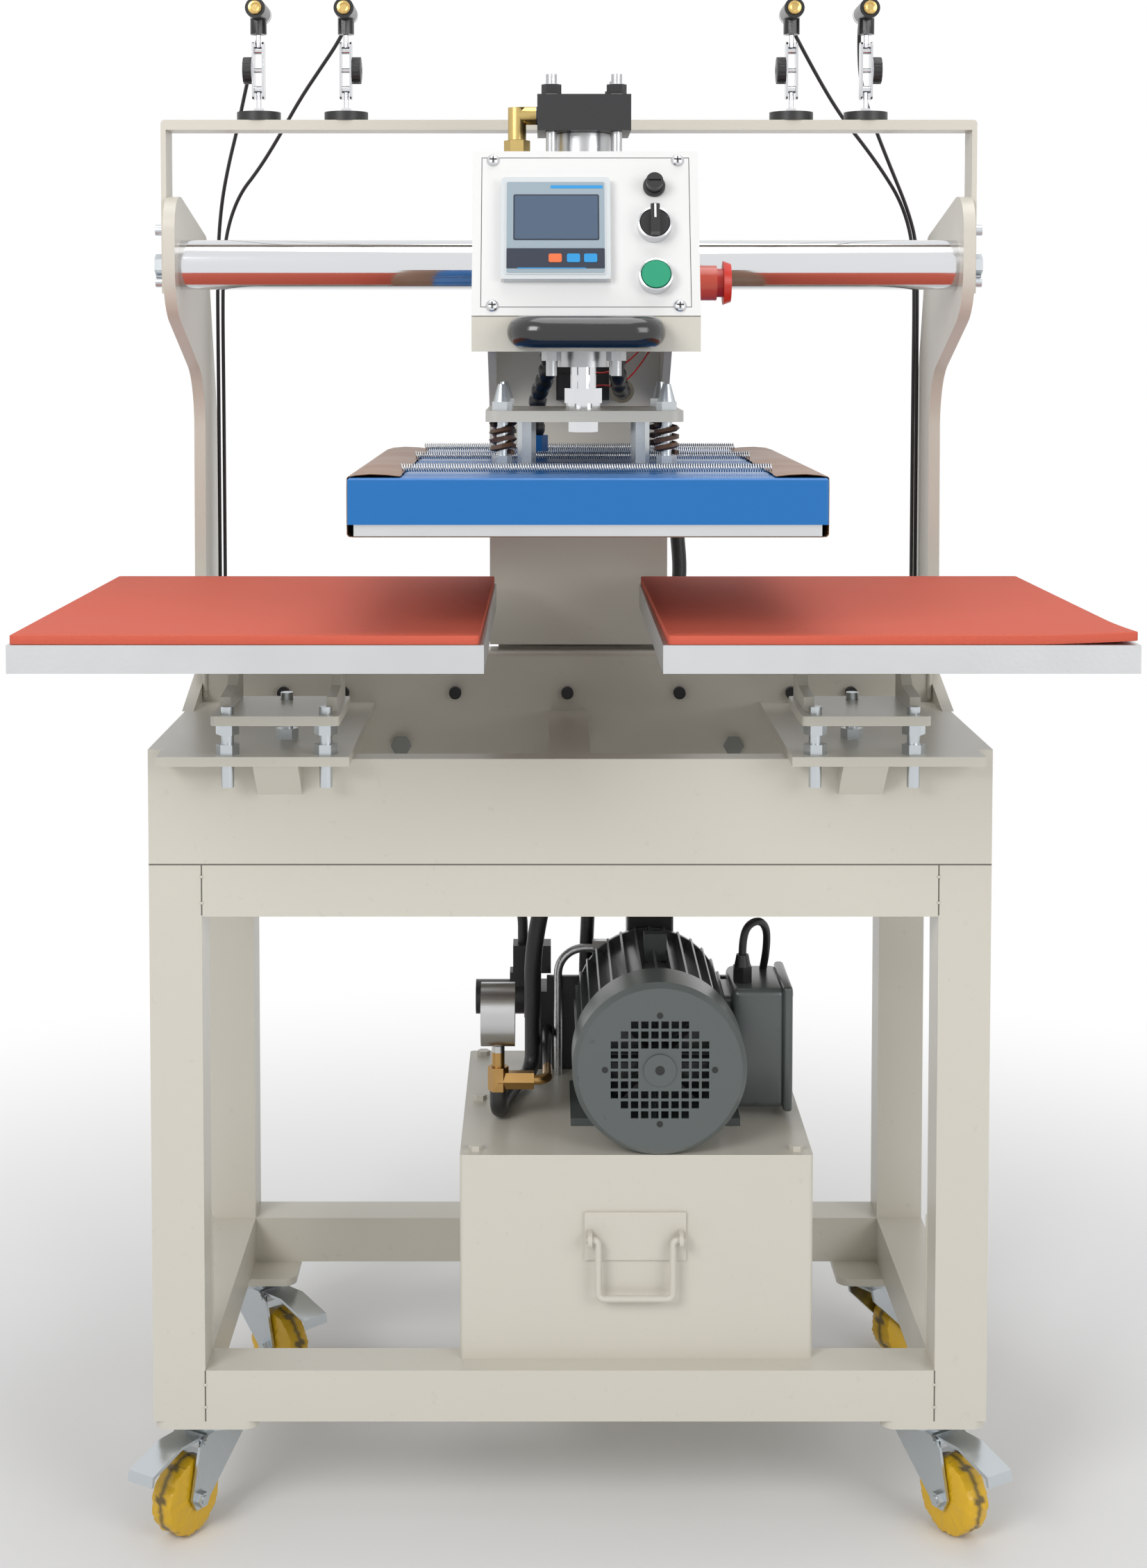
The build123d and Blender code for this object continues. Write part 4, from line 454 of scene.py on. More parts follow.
foam = finish_of(
    "silicone sponge", (0.60, 0.10, 0.055), 0.72, drift=0.10, rough_drift=0.1, grain=1500.0, bump=0.0004,
)
pad_length, pad_width, pad_thick = 0.495, 0.394, 0.0076
pad_underside = 0.8992
platen_x = 0.275
cells = 24
for number, (middle_x, turn) in enumerate(((-platen_x, -0.25), (platen_x, 0.35)), start=1):
    pad = bmesh.new()
    bmesh.ops.create_cube(pad, size=1.0, matrix=Matrix.Diagonal((pad_width, pad_length, pad_thick, 1)))
    upright = [e for e in pad.edges if abs((e.verts[0].co - e.verts[1].co).z) > pad_thick / 2]
    round_edges(pad, upright, 0.003, 3)
    rims = [
        e for e in pad.edges if abs(abs((e.verts[0].co.z + e.verts[1].co.z) / 2) - pad_thick / 2) < 1e-6
    ]
    round_edges(pad, rims, 0.0006, 2)
    for step in range(1, cells):
        for normal, span in (((1, 0, 0), pad_width), ((0, 1, 0), pad_length)):
            at = (step / cells - 0.5) * span
            bmesh.ops.bisect_plane(
                pad, geom=pad.verts[:] + pad.edges[:] + pad.faces[:], dist=1e-6,
                plane_co=Vector(normal) * at, plane_no=normal,
            )
    spin = Matrix.Rotation(math.radians(turn), 4, "Z")
    for corner in pad.verts:
        u = corner.co.x / pad_width * 2
        v = -corner.co.y / pad_length * 2
        curl = max(0.0, u + v - 1.55) if number == 2 else 0.0
        corner.co.z += 0.011 * curl ** 1.6
    spot = Matrix.Translation((middle_x, press_y, pad_underside + pad_thick / 2))
    bmesh.ops.transform(pad, matrix=spot @ spin, verts=pad.verts)
    laid = piece_of(f"sponge_pad_{number}", pad, "frame", foam)
    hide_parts("silicone_pads")

# Shaft, guide bar and piston rod: round steel bar, hard-chromed and ground bright. The head
# slides on the first two, and the rod runs in the cylinder's gland.
chrome = finish_of(
    "hard chrome", (0.72, 0.73, 0.75), 0.09, metal=1.0, drift=0.03, rough_drift=0.05, grain=200.0,
    bump=0.00001,
)
dress(chrome, "guide_rails", "piston_rod")

# Bolts, nuts, studs, caster forks and brake pedals: turned or pressed steel, zinc-plated and
# slightly blue. The row of screws along the guide beam is left black.
zinc = finish_of(
    "zinc plate", (0.55, 0.585, 0.61), 0.27, metal=1.0, drift=0.12, rough_drift=0.2, grain=300.0,
    bump=0.00004,
)
over_box(zinc, (-0.33, 0.12, 0.755), (0.33, 0.1845, 0.790), (0.02, 0.02, 0.022), 0.4, 0.3)
dress(zinc, "frame_fasteners", "spring_studs")
for corner in ("front_left", "front_right", "rear_left", "rear_right"):
    dress(zinc, f"fork_{corner}", f"pedal_{corner}")

# Slide pad and bearing block: machined steel, blackened, bolted on behind the head, where they
# run on the shaft and the guide bar.
dark_steel = finish_of("blackened steel", (0.05, 0.05, 0.052), 0.4, metal=0.6, drift=0.1)
dress(dark_steel, "head_bearings")

# Heated platen's cover: thin sheet steel, folded and sprayed in blue enamel. It is closed over
# the insulation and the heater plate.
blue = finish_of(
    "blue enamel", (0.0, 0.135, 0.42), 0.33, drift=0.03, grain=420.0, bump=0.00006, Coat_Weight=0.1,
)
dress(blue, "platen_cover")

# Non-stick sheet: brown coated glass cloth, laid under the heater, folded up round both ends and
# pulled tight across the top. Its cut hem is a little uneven.
cloth = finish_of(
    "coated glass cloth", (0.23, 0.115, 0.06), 0.38, drift=0.2, rough_drift=0.2, grain=1100.0, bump=0.0002,
)
sheet_depth = 0.488
head_middle = 0.012
sheet_z = 0.98925
fold = [
    (-0.158, 1.0400), (-0.168, 1.0412), (-0.182, 1.0418), (-0.194, 1.0408), (-0.2005, 1.0398),
    (-0.2016, 1.0385), (-0.2017, 1.030), (-0.2017, 1.015), (-0.2017, 1.000), (-0.2016, 0.9915),
    (-0.200, 0.9896), (-0.196, sheet_z),
]
across = [(-0.19 + 0.38 * i / 30, sheet_z) for i in range(31)]
fold_profile = fold + across + [(-x, z) for x, z in reversed(fold)]
cloth_shape = bmesh.new()
rows = 30
bmesh.ops.create_grid(cloth_shape, x_segments=len(fold_profile) - 1, y_segments=rows, size=0.5)
rng = random.Random(7)
ripple = [rng.uniform(-1, 1) for _ in range(rows + 1)]
for corner in cloth_shape.verts:
    column = round((corner.co.x + 0.5) * (len(fold_profile) - 1))
    row = round((corner.co.y + 0.5) * rows)
    x, z = fold_profile[column]
    edge = min(column, len(fold_profile) - 1 - column)
    lift = 0.0007 * ripple[row] + 0.0008 * math.sin(row * 1.3) if edge < 4 else 0.0
    hem = 0.002 * ripple[row] if edge == 0 else 0.0
    side = -1 if x < 0 else 1
    y = press_y + (row / rows - 0.5) * sheet_depth
    corner.co = Vector((head_middle + x - side * abs(hem), y, z + abs(lift)))
wrap = piece_of("nonstick_sheet", cloth_shape, "ram", cloth)
thick = wrap.modifiers.new("thickness", "SOLIDIFY")
thick.thickness = 0.0005
thick.offset = 0.0
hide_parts("ptfe_sheet")

# Extension springs: fine steel wire, wound close and hooked from one edge of the sheet to the
# other, across the top of the cover.
spring_wire = finish_of("spring wire", (0.6, 0.61, 0.62), 0.25, metal=1.0, drift=0.05)
coil_radius, wire_radius = 0.0034, 0.0006
coil_z = 1.0441
for number, coil_y in enumerate((-0.180, 0.040, 0.220), start=1):
    line = bpy.data.curves.new(f"hook_spring_{number}", "CURVE")
    line.dimensions = "3D"
    line.bevel_depth = wire_radius
    line.bevel_resolution = 1
    start, end = head_middle - 0.160, head_middle + 0.160
    turns, steps = 150, 8
    coil = line.splines.new("POLY")
    coil.points.add(turns * steps)
    for i, point in enumerate(coil.points):
        share = i / (turns * steps)
        swing = 2 * math.pi * i / steps
        point.co = (
            start + (end - start) * share,
            press_y + coil_y + coil_radius * math.cos(swing) + 0.0015 * math.sin(3 * share + number),
            coil_z + coil_radius * math.sin(swing),
            1,
        )
    line.materials.append(spring_wire)
    wound = bpy.data.objects.new(f"hook_spring_{number}", line)
    bpy.context.scene.collection.objects.link(wound)
    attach(wound, "ram")
    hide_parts("extension_springs")

# Die springs: heavy rectangular wire, wound and coated in brown enamel. Each one sits on a stud
# of the pressure plate.
spring_brown = finish_of("brown enamel", (0.10, 0.052, 0.03), 0.35, drift=0.2, speck=0.1)
dress(spring_brown, "die_springs")

# Cylinder: a black cap block on a bright steel barrel, held down by four tie rods, with a
# yellow-plated elbow where the oil comes in.
cylinder_steel = finish_of("machined steel", (0.5, 0.51, 0.52), 0.3, metal=1.0, drift=0.1)
over_box(cylinder_steel, (-0.032, -0.154, 1.3455), (0.056, -0.066, 1.3795), (0.018, 0.018, 0.02), 0.38, 0.0)
over_box(cylinder_steel, (-0.09, -0.16, 1.318), (-0.0322, -0.06, 1.385), (0.60, 0.44, 0.17), 0.3, 1.0)
over_box(cylinder_steel, (-0.032, -0.154, 1.3797), (0.056, -0.066, 1.3885), (0.02, 0.02, 0.021), 0.4, 0.2)
dress(cylinder_steel, "cylinder_body")

# Control panel: a satin white film on sheet steel, screwed on at its corners. The controller is
# set in from the front, and the switches and the fuse holder are clamped by their collars.
panel_white = finish_of("panel film", (0.74, 0.74, 0.73), 0.38, drift=0.02, grain=500.0, bump=0.00003)
dress(panel_white, "control_panel")
lean = math.radians(19.9)
panel_foot = (-0.263, 1.1754)
half_panel = 0.078
panel_place = Matrix((
    (1, 0, 0, head_middle),
    (0, math.sin(lean), -math.cos(lean), panel_foot[0] + half_panel * math.sin(lean)),
    (0, math.cos(lean), math.sin(lean), panel_foot[1] + half_panel * math.cos(lean)),
    (0, 0, 0, 1),
))
black_plastic = finish_of("black plastic", (0.015, 0.015, 0.016), 0.32, drift=0.05)


def slab(shape, centre, size, low, high, corner=0.0):
    """A plate on the panel: centre and size across it, low to high off it, all in millimetres."""
    before = set(shape.verts)
    made = bmesh.ops.create_cube(shape, size=1.0)
    bmesh.ops.scale(shape, vec=(size[0] / 1000, size[1] / 1000, (high - low) / 1000), verts=made["verts"])
    if corner:
        edges = dict.fromkeys(e for v in made["verts"] for e in v.link_edges)
        tall = [e for e in edges if abs((e.verts[0].co - e.verts[1].co).z) > (high - low) / 2000]
        round_edges(shape, tall, corner / 1000, 4)
    fresh = [v for v in shape.verts if v not in before]
    bmesh.ops.translate(shape, vec=(centre[0] / 1000, centre[1] / 1000, (low + high) / 2000), verts=fresh)


def turned(shape, place, outline, steps=32):
    """A body of revolution: outline is radius and height pairs in millimetres, closed on itself."""
    before = set(shape.verts)
    corners = [shape.verts.new((r / 1000, 0, h / 1000)) for r, h in outline]
    edges = [shape.edges.new((a, b)) for a, b in zip(corners, corners[1:])]
    if outline[0][0] > 0:
        edges.append(shape.edges.new((corners[-1], corners[0])))
    bmesh.ops.spin(
        shape, geom=corners + edges, cent=(0, 0, 0), axis=(0, 0, 1), angle=2 * math.pi, steps=steps,
        use_merge=True,
    )
    bmesh.ops.remove_doubles(shape, verts=[v for v in shape.verts if v not in before], dist=1e-6)
    bmesh.ops.transform(shape, matrix=place, verts=[v for v in shape.verts if v not in before])


def ring(shape, centre, outline, steps=40):
    """A turned ring on the panel, its centre in millimetres."""
    turned(shape, Matrix.Translation((centre[0] / 1000, centre[1] / 1000, 0)), outline, steps)


def on_panel(name, build, material, body="head"):
    shape = bmesh.new()
    build(shape)
    bmesh.ops.transform(shape, matrix=panel_place, verts=shape.verts)
    return piece_of(name, shape, body, material)


controller = (-26.6, 1.3)
case_grey = finish_of("controller case", (0.60, 0.63, 0.65), 0.4, drift=0.02)
face_blue = finish_of("controller face", (0.30, 0.37, 0.42), 0.3, drift=0.02)
strip_navy = finish_of("key strip", (0.022, 0.03, 0.05), 0.3, drift=0.04)
screen_glass = finish_of(
    "unlit screen", (0.045, 0.085, 0.15), 0.08, drift=0.1, Coat_Weight=0.8, Coat_Roughness=0.03,
)
key_orange = finish_of("orange key", (0.75, 0.16, 0.05), 0.4)
key_blue = finish_of("blue key", (0.02, 0.28, 0.62), 0.4)
# black for printed lines and marks; the same black is also painted shade in the screw recesses and the
# cowl's holes
ink_and_recess_shade = finish_of("black ink and painted recess shade", (0.012, 0.012, 0.012), 0.5)


def controller_frame(shape):
    slab(shape, controller, (96.4, 96.4), 0.2, 8.3, 4)
    slab(shape, controller, (88.5, 88.5), 8.2, 9.0, 2)


on_panel("controller_case", controller_frame, case_grey)
for name, centre, size, low, high, corner, material, slot in (
    ("controller_face", controller, (86, 86), 8.9, 9.4, 1.5, face_blue, "panel_film"),
    ("key_strip", (-26.6, -28.2), (86, 19), 9.3, 9.6, 1, strip_navy, "black_plastic"),
    ("screen", (-26.0, 10.6), (73, 41), 9.3, 9.7, 1, screen_glass, "gloss_black"),
    ("screen_rim", (-26.0, 10.6), (75.5, 43.5), 9.2, 9.5, 1.5, strip_navy, "black_plastic"),
    ("head_stripe", (-8, 39.5), (46, 3), 9.3, 9.55, 0.5, key_blue, "blue_paint"),
    ("foot_stripe", (-30, -37.4), (60, 0.8), 9.5, 9.75, 0, key_blue, "blue_paint"),
    ("set_key", (-27.0, -28.0), (11.5, 8), 9.5, 10.1, 1.5, key_orange, "red_plastic"),
    ("down_key", (-11.0, -28.0), (11.5, 8), 9.5, 10.1, 1.5, key_blue, "blue_paint"),
    ("up_key", (4.0, -28.0), (11.5, 8), 9.5, 10.1, 1.5, key_blue, "blue_paint"),
):
    on_panel(name, lambda shape: slab(shape, centre, size, low, high, corner), material)


def border_line(shape):
    slab(shape, (0, 71.5), (184.6, 0.6), -0.02, 0.06)
    slab(shape, (0, -70.0), (184.6, 0.6), -0.02, 0.06)
    for side in (-92.0, 92.0):
        slab(shape, (side, 0.75), (0.6, 142), -0.02, 0.06)


on_panel("border_line", border_line, ink_and_recess_shade)
selector_spot = (60.6, 5.3)
button_spot = (61.0, -43.3)
fuse_spot = (60.8, 43.7)


def switch_rings(shape):
    collar = [
        (12.9, 8.5), (12.9, 10.0), (13.6, 10.6), (14.9, 10.2), (15.1, 9.4), (15.1, 0.1), (14.6, 0.1),
        (14.6, 8.5),
    ]
    ring(shape, selector_spot, collar)
    ring(shape, button_spot, collar)


def fuse_collar(shape):
    ring(
        shape, fuse_spot,
        [(7.8, 2.8), (7.8, 4.2), (9.4, 4.0), (9.9, 3.0), (9.9, 0.1), (9.6, 0.1), (9.6, 2.8)],
    )


bright = finish_of("bright ring", (0.62, 0.63, 0.65), 0.16, metal=1.0, drift=0.04)
on_panel("switch_rings", switch_rings, bright)
on_panel("fuse_holder", fuse_collar, black_plastic)
white_ink = finish_of("white ink", (0.8, 0.8, 0.8), 0.5)
on_panel(
    "selector_mark", lambda shape: slab(shape, (60.6, 12.4), (1.8, 13), 20.9, 21.15), white_ink,
    "selector_knob",
)
screw_spots = [(u, v) for u in (-82, 82) for v in (-69, 69)]


def screw_heads(shape):
    for spot in screw_spots:
        ring(shape, spot, [(0, 3.6), (2.6, 3.3), (4.6, 2.3), (5.6, 0.9), (5.8, 0.05), (0, 0.05)], steps=28)


on_panel("panel_screws", screw_heads, bright)


# painted shade: thin black crosses on the screw heads stand for the shade in their recesses
def screw_slots(shape):
    for spot in screw_spots:
        slab(shape, spot, (6.4, 1.2), 2.9, 3.68)
        slab(shape, spot, (1.2, 6.4), 2.9, 3.68)


on_panel("screw_slots", screw_slots, ink_and_recess_shade)

# Handle: a steel bow dipped in glossy black plastic, fixed under the panel, with the stop's red
# collar beside it. The knobs, the fan, the needle and the conduits are moulded in dull black,
# and the button and the stop in green and red.
gloss_black = finish_of(
    "gloss black", (0.010, 0.010, 0.011), 0.13, drift=0.05, Coat_Weight=0.5, Coat_Roughness=0.05,
)
over_box(gloss_black, (0.10, -0.30, 1.15), (0.30, 0.0, 1.30), (0.62, 0.06, 0.025), 0.35)
dress(gloss_black, "handle_grip")
dress(
    black_plastic, "selector_knob", "fuse_cap", "motor_fan", "gauge_needle", "head_wiring",
    "platen_conduit",
)
green = finish_of("green lens", (0.015, 0.30, 0.16), 0.3, drift=0.03)
dress(green, "green_button")
red = finish_of("red plastic", (0.66, 0.03, 0.015), 0.32, drift=0.04)
dress(red, "estop_button")

# Power unit: a finned motor and its pressed cowl in grey-green machine enamel. The terminal box
# is screwed to its side, with a gland on top for the lead.
motor_grey = finish_of(
    "machine enamel", (0.085, 0.10, 0.098), 0.3, drift=0.08, grain=380.0, bump=0.0001, speck=0.2,
    Coat_Weight=0.3, Coat_Roughness=0.2,
)
dress(motor_grey, "motor_body", "motor_cowl")


def rounded_box(shape, centre, size, radius):
    """A block with all its edges rounded, centre and size in metres."""
    before = set(shape.verts)
    made = bmesh.ops.create_cube(shape, size=1.0)
    bmesh.ops.scale(shape, vec=size, verts=made["verts"])
    edges = list(dict.fromkeys(e for v in made["verts"] for e in v.link_edges))
    round_edges(shape, edges, radius, 4)
    bmesh.ops.translate(shape, vec=centre, verts=[v for v in shape.verts if v not in before])


def plug(shape, place, radius, height, segments, tip=None):
    """A short round or six-sided plug about its own middle, narrower at the tip where one is given."""
    bmesh.ops.create_cone(
        shape, cap_ends=True, cap_tris=False, segments=segments, radius1=radius,
        radius2=radius if tip is None else tip, depth=height, matrix=place,
    )


box_y, box_z = 0.072, 0.438
shape = bmesh.new()
rounded_box(shape, (0.1925, box_y, box_z), (0.054, 0.096, 0.122), 0.007)
rounded_box(shape, (0.2215, box_y, box_z), (0.010, 0.102, 0.128), 0.0035)
piece_of("terminal_box", shape, "frame", motor_grey)
shape = bmesh.new()
facing_right = Matrix.Rotation(math.radians(90), 4, "Y")
for across in (-0.042, 0.042):
    for up in (-0.055, 0.055):
        spot = Matrix.Translation((0.2264, box_y + across, box_z + up)) @ facing_right
        plug(shape, spot, 0.0035, 0.0016, 16, tip=0.0026)
piece_of("terminal_screws", shape, "frame", zinc)
# painted shade: thin black discs on the cowl's face stand for the shade inside its four holes and its
# middle hole
shape = bmesh.new()
facing_front = Matrix.Rotation(math.radians(90), 4, "X")
motor_x, motor_z = 0.0868, 0.452
hole_circle = 0.053
for turn in range(4):
    around = math.radians(90 * turn)
    x, z = motor_x + hole_circle * math.sin(around), motor_z + hole_circle * math.cos(around)
    plug(shape, Matrix.Translation((x, -0.0882, z)) @ facing_front, 0.0030, 0.0006, 20)
plug(shape, Matrix.Translation((motor_x, -0.0902, motor_z)) @ facing_front, 0.0045, 0.0006, 24)
piece_of("cowl_holes", shape, "frame", ink_and_recess_shade)
gland = bmesh.new()
gland_x, gland_y, gland_z = 0.178, 0.055, 0.499
nut_tall, cap_tall = 0.016, 0.012
nut_middle = gland_z + nut_tall / 2
cap_middle = gland_z + nut_tall + cap_tall / 2
plug(gland, Matrix.Translation((gland_x, gland_y, nut_middle)), 0.0105, nut_tall, 6)
plug(gland, Matrix.Translation((gland_x, gland_y, cap_middle)), 0.0085, cap_tall, 24, tip=0.0062)
piece_of("terminal_gland", gland, "frame", black_plastic)
motor_route = [
    (0.178, 0.055, 0.526), (0.178, 0.055, 0.541), (0.183, 0.058, 0.556), (0.196, 0.066, 0.560),
    (0.205, 0.078, 0.548), (0.206, 0.090, 0.525), (0.204, 0.104, 0.500), (0.200, 0.1195, 0.470),
]
motor_lead = lead("motor_lead", motor_route, 0.008, rubber, "frame")
run_length(motor_lead)

# Valve gear: a manifold, pump and solenoid in black enamel, a plated gauge case with a printed
# white dial, and a brass tee that screws the gauge to its pipe.
valve_black = finish_of("valve enamel", (0.02, 0.02, 0.021), 0.4, drift=0.1)
over_box(valve_black, (-0.092, -0.03, 0.44), (-0.05, 0.05, 0.52), (0.5, 0.5, 0.5), 0.25, 1.0)
over_box(valve_black, (-0.092, -0.03, 0.36), (-0.01, 0.05, 0.44), (0.42, 0.25, 0.09), 0.3, 1.0)
dress(valve_black, "valve_gear")
shape = bmesh.new()
facing_left = Matrix.Rotation(math.radians(-90), 4, "Y")
gauge_y, gauge_z = 0.010, 0.478
dial_x = -0.0829
plug(shape, Matrix.Translation((dial_x, gauge_y, gauge_z)) @ facing_left, 0.0283, 0.0006, 48)
piece_of("gauge_dial", shape, "frame", white_ink)
shape = bmesh.new()
for mark in range(26):
    around = math.radians(-135 + 270 * mark / 25)
    long = mark % 5 == 0
    tick = bmesh.ops.create_cube(shape, size=1.0)["verts"]
    bmesh.ops.scale(shape, vec=(0.0003, 0.0008 if long else 0.0004, 0.005 if long else 0.003), verts=tick)
    bmesh.ops.translate(shape, vec=(0, 0, 0.024 if long else 0.025), verts=tick)
    bmesh.ops.rotate(shape, cent=(0, 0, 0), matrix=Matrix.Rotation(around, 3, "X"), verts=tick)
    bmesh.ops.translate(shape, vec=(dial_x - 0.0004, gauge_y, gauge_z), verts=tick)
piece_of("gauge_marks", shape, "frame", ink_and_recess_shade)

# Hydraulic hoses: braided rubber with a black cover, each end crimped in a plated steel fitting.
# The lines that serve the head rise through the base.
hose_black = finish_of("hose cover", (0.018, 0.018, 0.019), 0.38, drift=0.1, grain=700.0, bump=0.0003)
over_box(hose_black, (-0.0145, 0.15, 0.36), (0.066, 0.19, 0.52), (0.52, 0.53, 0.54), 0.28, 1.0)
dress(hose_black, "hydraulic_lines")

# Lasers: a magnet in a black boot that stands on the bar, a bright ball-joint arm with a black
# clamp knob, and a turned black body with a brass lens ring at its front.
finish_brass = finish_of("brass", (0.62, 0.42, 0.15), 0.25, metal=1.0, drift=0.1)
magnet_black = finish_of("magnet boot", (0.016, 0.016, 0.017), 0.4)
over_box(magnet_black, (-0.40, 0.0, 1.3832), (0.40, 0.12, 1.50), (0.72, 0.73, 0.75), 0.12, 1.0)
dress(magnet_black, "laser_feet")
arm_chrome = finish_of("arm plating", (0.66, 0.67, 0.69), 0.14, metal=1.0, drift=0.05)
for low_x, high_x in ((-0.340, -0.3181), (-0.2179, -0.196), (0.19, 0.2179), (0.3051, 0.33)):
    over_box(arm_chrome, (low_x, 0.0, 1.38), (high_x, 0.12, 1.46), (0.016, 0.016, 0.017), 0.4, 0.0)
laser_black = finish_of("laser body", (0.014, 0.014, 0.015), 0.25, drift=0.05)
over_box(laser_black, (-0.40, 0.030, 1.46), (0.40, 0.0364, 1.51), (0.62, 0.45, 0.17), 0.25, 1.0)
over_box(laser_black, (-0.40, 0.0, 1.43), (0.40, 0.12, 1.4605), (0.66, 0.67, 0.69), 0.15, 1.0)
over_box(laser_black, (-0.40, 0.083, 1.46), (0.40, 0.0885, 1.51), (0.66, 0.67, 0.69), 0.2, 1.0)
for number in range(1, 5):
    dress(arm_chrome, f"laser_arm_{number}")
    dress(laser_black, f"laser_{number}")
ring_outline = [(3.2, -2.4), (3.2, 0.4), (4.6, 0.9), (6.2, 0.6), (6.7, -0.2), (6.7, -2.4)]
lens_outline = [(0, -2.6), (0, -0.9), (2.4, -1.2), (3.3, -1.8), (3.3, -2.6)]
knob_outline = [
    (0, 8.7), (3, 8.9), (4, 9.6), (9, 9.6), (12.6, 8.6), (13.6, 7.4), (13.6, 1.6), (12.4, 0.2), (0, 0.2),
]
laser_front = 0.0335
arm_y, knob_z = 0.064, 1.425
for number, route in enumerate(cable_routes, start=1):
    laser_x = route[0][0] / 1000
    muzzle = Matrix.Translation((laser_x, laser_front, laser_z)) @ facing_front
    shape = bmesh.new()
    turned(shape, muzzle, ring_outline)
    piece_of(f"lens_ring_{number}", shape, f"laser_{number}", finish_brass)
    shape = bmesh.new()
    turned(shape, muzzle, lens_outline)
    piece_of(f"lens_{number}", shape, f"laser_{number}", screen_glass)
    knob_side = -1 if number % 2 else 1
    shape = bmesh.new()
    sideways = Matrix.Rotation(math.radians(90 * knob_side), 4, "Y")
    knob_seat = Matrix.Translation((laser_x + knob_side * 0.006, arm_y, knob_z))
    turned(shape, knob_seat @ sideways, knob_outline, 60)
    for v in shape.verts:
        back, up = v.co.y - arm_y, v.co.z - knob_z
        if math.hypot(up, back) > 0.012:
            pinch = 1 - 0.045 * (0.5 + 0.5 * math.cos(20 * math.atan2(up, back)))
            v.co.y = arm_y + back * pinch
            v.co.z = knob_z + up * pinch
    piece_of(f"arm_knob_{number}", shape, f"laser_arm_{number}", black_plastic)

# Red switch wires: two thin stranded leads in red insulation. They leave the limit switch and
# hang in a loose bow up into the head.
red_core = finish_of("red insulation", (0.62, 0.02, 0.012), 0.35)
for number, route in enumerate((
    [
        (0.010, 0.160, 1.112), (0.022, 0.157, 1.121), (0.040, 0.153, 1.119), (0.060, 0.150, 1.128),
        (0.076, 0.149, 1.144),
    ],
    [
        (0.012, 0.160, 1.100), (0.030, 0.155, 1.108), (0.050, 0.150, 1.105), (0.070, 0.147, 1.118),
        (0.086, 0.146, 1.144),
    ],
), start=1):
    wire = lead(f"switch_wire_{number}", route, 0.0018, red_core, "head")
    run_length(wire)


# Weld beads: short runs of rippled bead, laid where plate meets plate or tube meets tube, and
# sprayed over with the same cream enamel.
def weld(name, start, end, radius):
    start, end = Vector(start), Vector(end)
    line = bpy.data.curves.new(name, "CURVE")
    line.dimensions = "3D"
    line.bevel_depth = radius
    line.bevel_resolution = 2
    line.use_fill_caps = True
    count = max(3, int((end - start).length / 0.0016))
    bead = line.splines.new("POLY")
    bead.points.add(count)
    rng = random.Random(name)
    for i, point in enumerate(bead.points):
        point.co = (*(start + (end - start) * i / count), 1)
        point.radius = (0.82 if i % 2 else 1.06) + rng.uniform(-0.08, 0.08)
        if i in (0, count):
            point.radius = 0.5
    line.materials.append(cream)
    made = bpy.data.objects.new(name, line)
    bpy.context.scene.collection.objects.link(made)
    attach(made, "frame")


beads = [
    ("cheek_weld_a", (0.391, -0.02, 0.7585), (0.391, 0.05, 0.7585), 0.003),
    ("cheek_weld_b", (0.391, 0.12, 0.7585), (0.391, 0.17, 0.7585), 0.003),
    ("beam_weld", (0.388, 0.183, 0.770), (0.388, 0.183, 0.812), 0.003),
    ("leg_weld_a", (0.350, -0.1095, 0.643), (0.350, -0.1095, 0.647), 0.0022),
    ("leg_weld_b", (0.350, -0.1095, 0.618), (0.350, -0.1095, 0.622), 0.0022),
    ("leg_weld_c", (0.350, -0.1095, 0.150), (0.350, -0.1095, 0.154), 0.0022),
    ("leg_weld_d", (0.350, -0.1095, 0.128), (0.350, -0.1095, 0.132), 0.0022),
    ("inner_weld", (0.350, -0.06, 0.166), (0.350, -0.06, 0.30), 0.0015),
]
for side, label in ((-1, "left"), (1, "right")):
    for name, (x, *start), (end_x, *end), radius in beads:
        weld(f"{name}_{label}", (side * x, *start), (side * end_x, *end), radius)

# Wheels: seventy-six millimetre nylon wheels, still wrapped in yellow film for transport. The
# film is crumpled over the rim and the sides, and dark where the tread shows through it.
film = finish_of(
    "yellow film", (0.70, 0.42, 0.015), 0.24, drift=0.5, rough_drift=0.2, grain=90.0, bump=0.0015,
)
tree = film.node_tree
film_shader = tree.nodes["Principled BSDF"]
tread_mark = add(tree, "ShaderNodeAttribute", attribute_name="tread")
film_colour = film_shader.inputs["Base Color"].links[0].from_socket
film_mix = add(
    tree, "ShaderNodeMix", {0: tread_mark.outputs["Fac"], 6: film_colour, 7: (0.05, 0.045, 0.03, 1)},
    data_type="RGBA",
)
tree.links.new(film_mix.outputs[2], film_shader.inputs["Base Color"])
wheel_headings = (
    ("front_left", -0.350, -0.060, -122), ("front_right", 0.350, -0.060, -58),
    ("rear_left", -0.350, 0.280, -45), ("rear_right", 0.350, 0.280, 40),
)
wheel_trail, axle_z = 0.042, 0.038
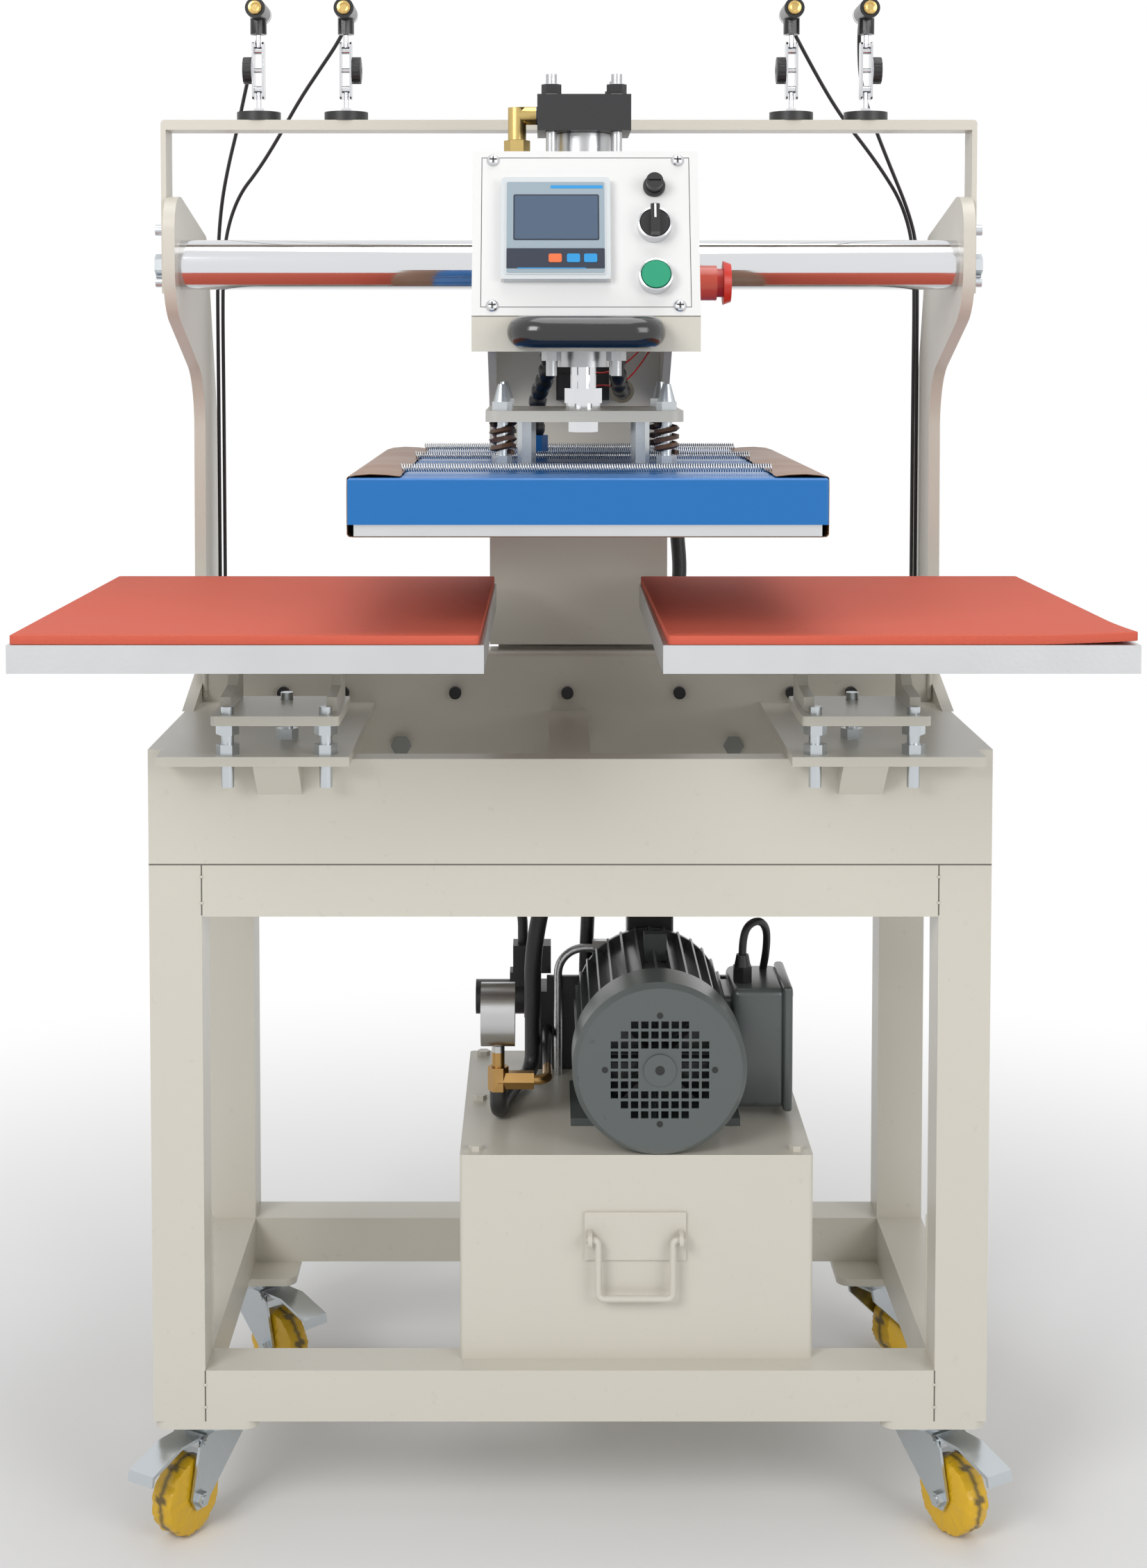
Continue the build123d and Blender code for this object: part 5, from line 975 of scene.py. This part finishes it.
half_outline = [
    (0.0056, -0.0148), (0.012, -0.0148), (0.020, -0.0144), (0.028, -0.0140), (0.033, -0.0136),
    (0.0360, -0.0118), (0.0371, -0.0085), (0.0374, -0.0045),
]
wheel_outline = half_outline + [(0.0375, 0.0)] + [(r, -y) for r, y in reversed(half_outline)]
for corner, spot_x, spot_y, heading in wheel_headings:
    shape = bmesh.new()
    corners = [shape.verts.new((r, y, 0)) for r, y in wheel_outline]
    edges = [shape.edges.new((a, b)) for a, b in zip(corners, corners[1:] + corners[:1])]
    bmesh.ops.spin(
        shape, geom=corners + edges, cent=(0, 0, 0), axis=(0, 1, 0), angle=2 * math.pi, steps=72,
        use_merge=True,
    )
    bmesh.ops.remove_doubles(shape, verts=shape.verts, dist=1e-6)
    rng = random.Random(corner)
    phases = [rng.uniform(0, 6.28) for _ in range(8)]
    for v in shape.verts:
        r = math.hypot(v.co.x, v.co.z)
        if r < 0.010:
            continue
        a = math.atan2(v.co.z, v.co.x)
        crumple = (
            math.sin(9 * a + phases[0] + 90 * v.co.y)
            + math.sin(17 * a + phases[1] - 160 * v.co.y)
            + 0.8 * math.sin(29 * a + phases[2] + 260 * v.co.y)
            + 0.6 * math.sin(41 * a + phases[3] + 300 * r)
        )
        pull = 0.00055 * crumple - 0.0009
        v.co.x += pull * math.cos(a)
        v.co.z += pull * math.sin(a)
        if r < 0.034:
            v.co.y += math.copysign(0.0006, -v.co.y) * (1 + crumple * 0.4)
    swivel = Matrix.Translation((spot_x, spot_y, 0)) @ Matrix.Rotation(math.radians(heading), 4, "Z")
    turn = swivel @ Matrix.Translation((wheel_trail, 0, axle_z))
    bmesh.ops.transform(shape, matrix=turn, verts=shape.verts)
    wrapped = piece_of(f"wrapped_{corner}", shape, f"wheel_{corner}", film)
    back = turn.inverted()
    band = wrapped.data.attributes.new("tread", "FLOAT", "POINT")
    for v, value in zip(wrapped.data.vertices, band.data):
        local = back @ v.co
        r = math.hypot(local.x, local.z)
        half_band = 0.0035 + 0.0012 * math.sin(7 * math.atan2(local.z, local.x))
        value.value = 0.85 if r > 0.034 and abs(local.y) < half_band else 0.0
    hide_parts(f"wheel_{corner}")
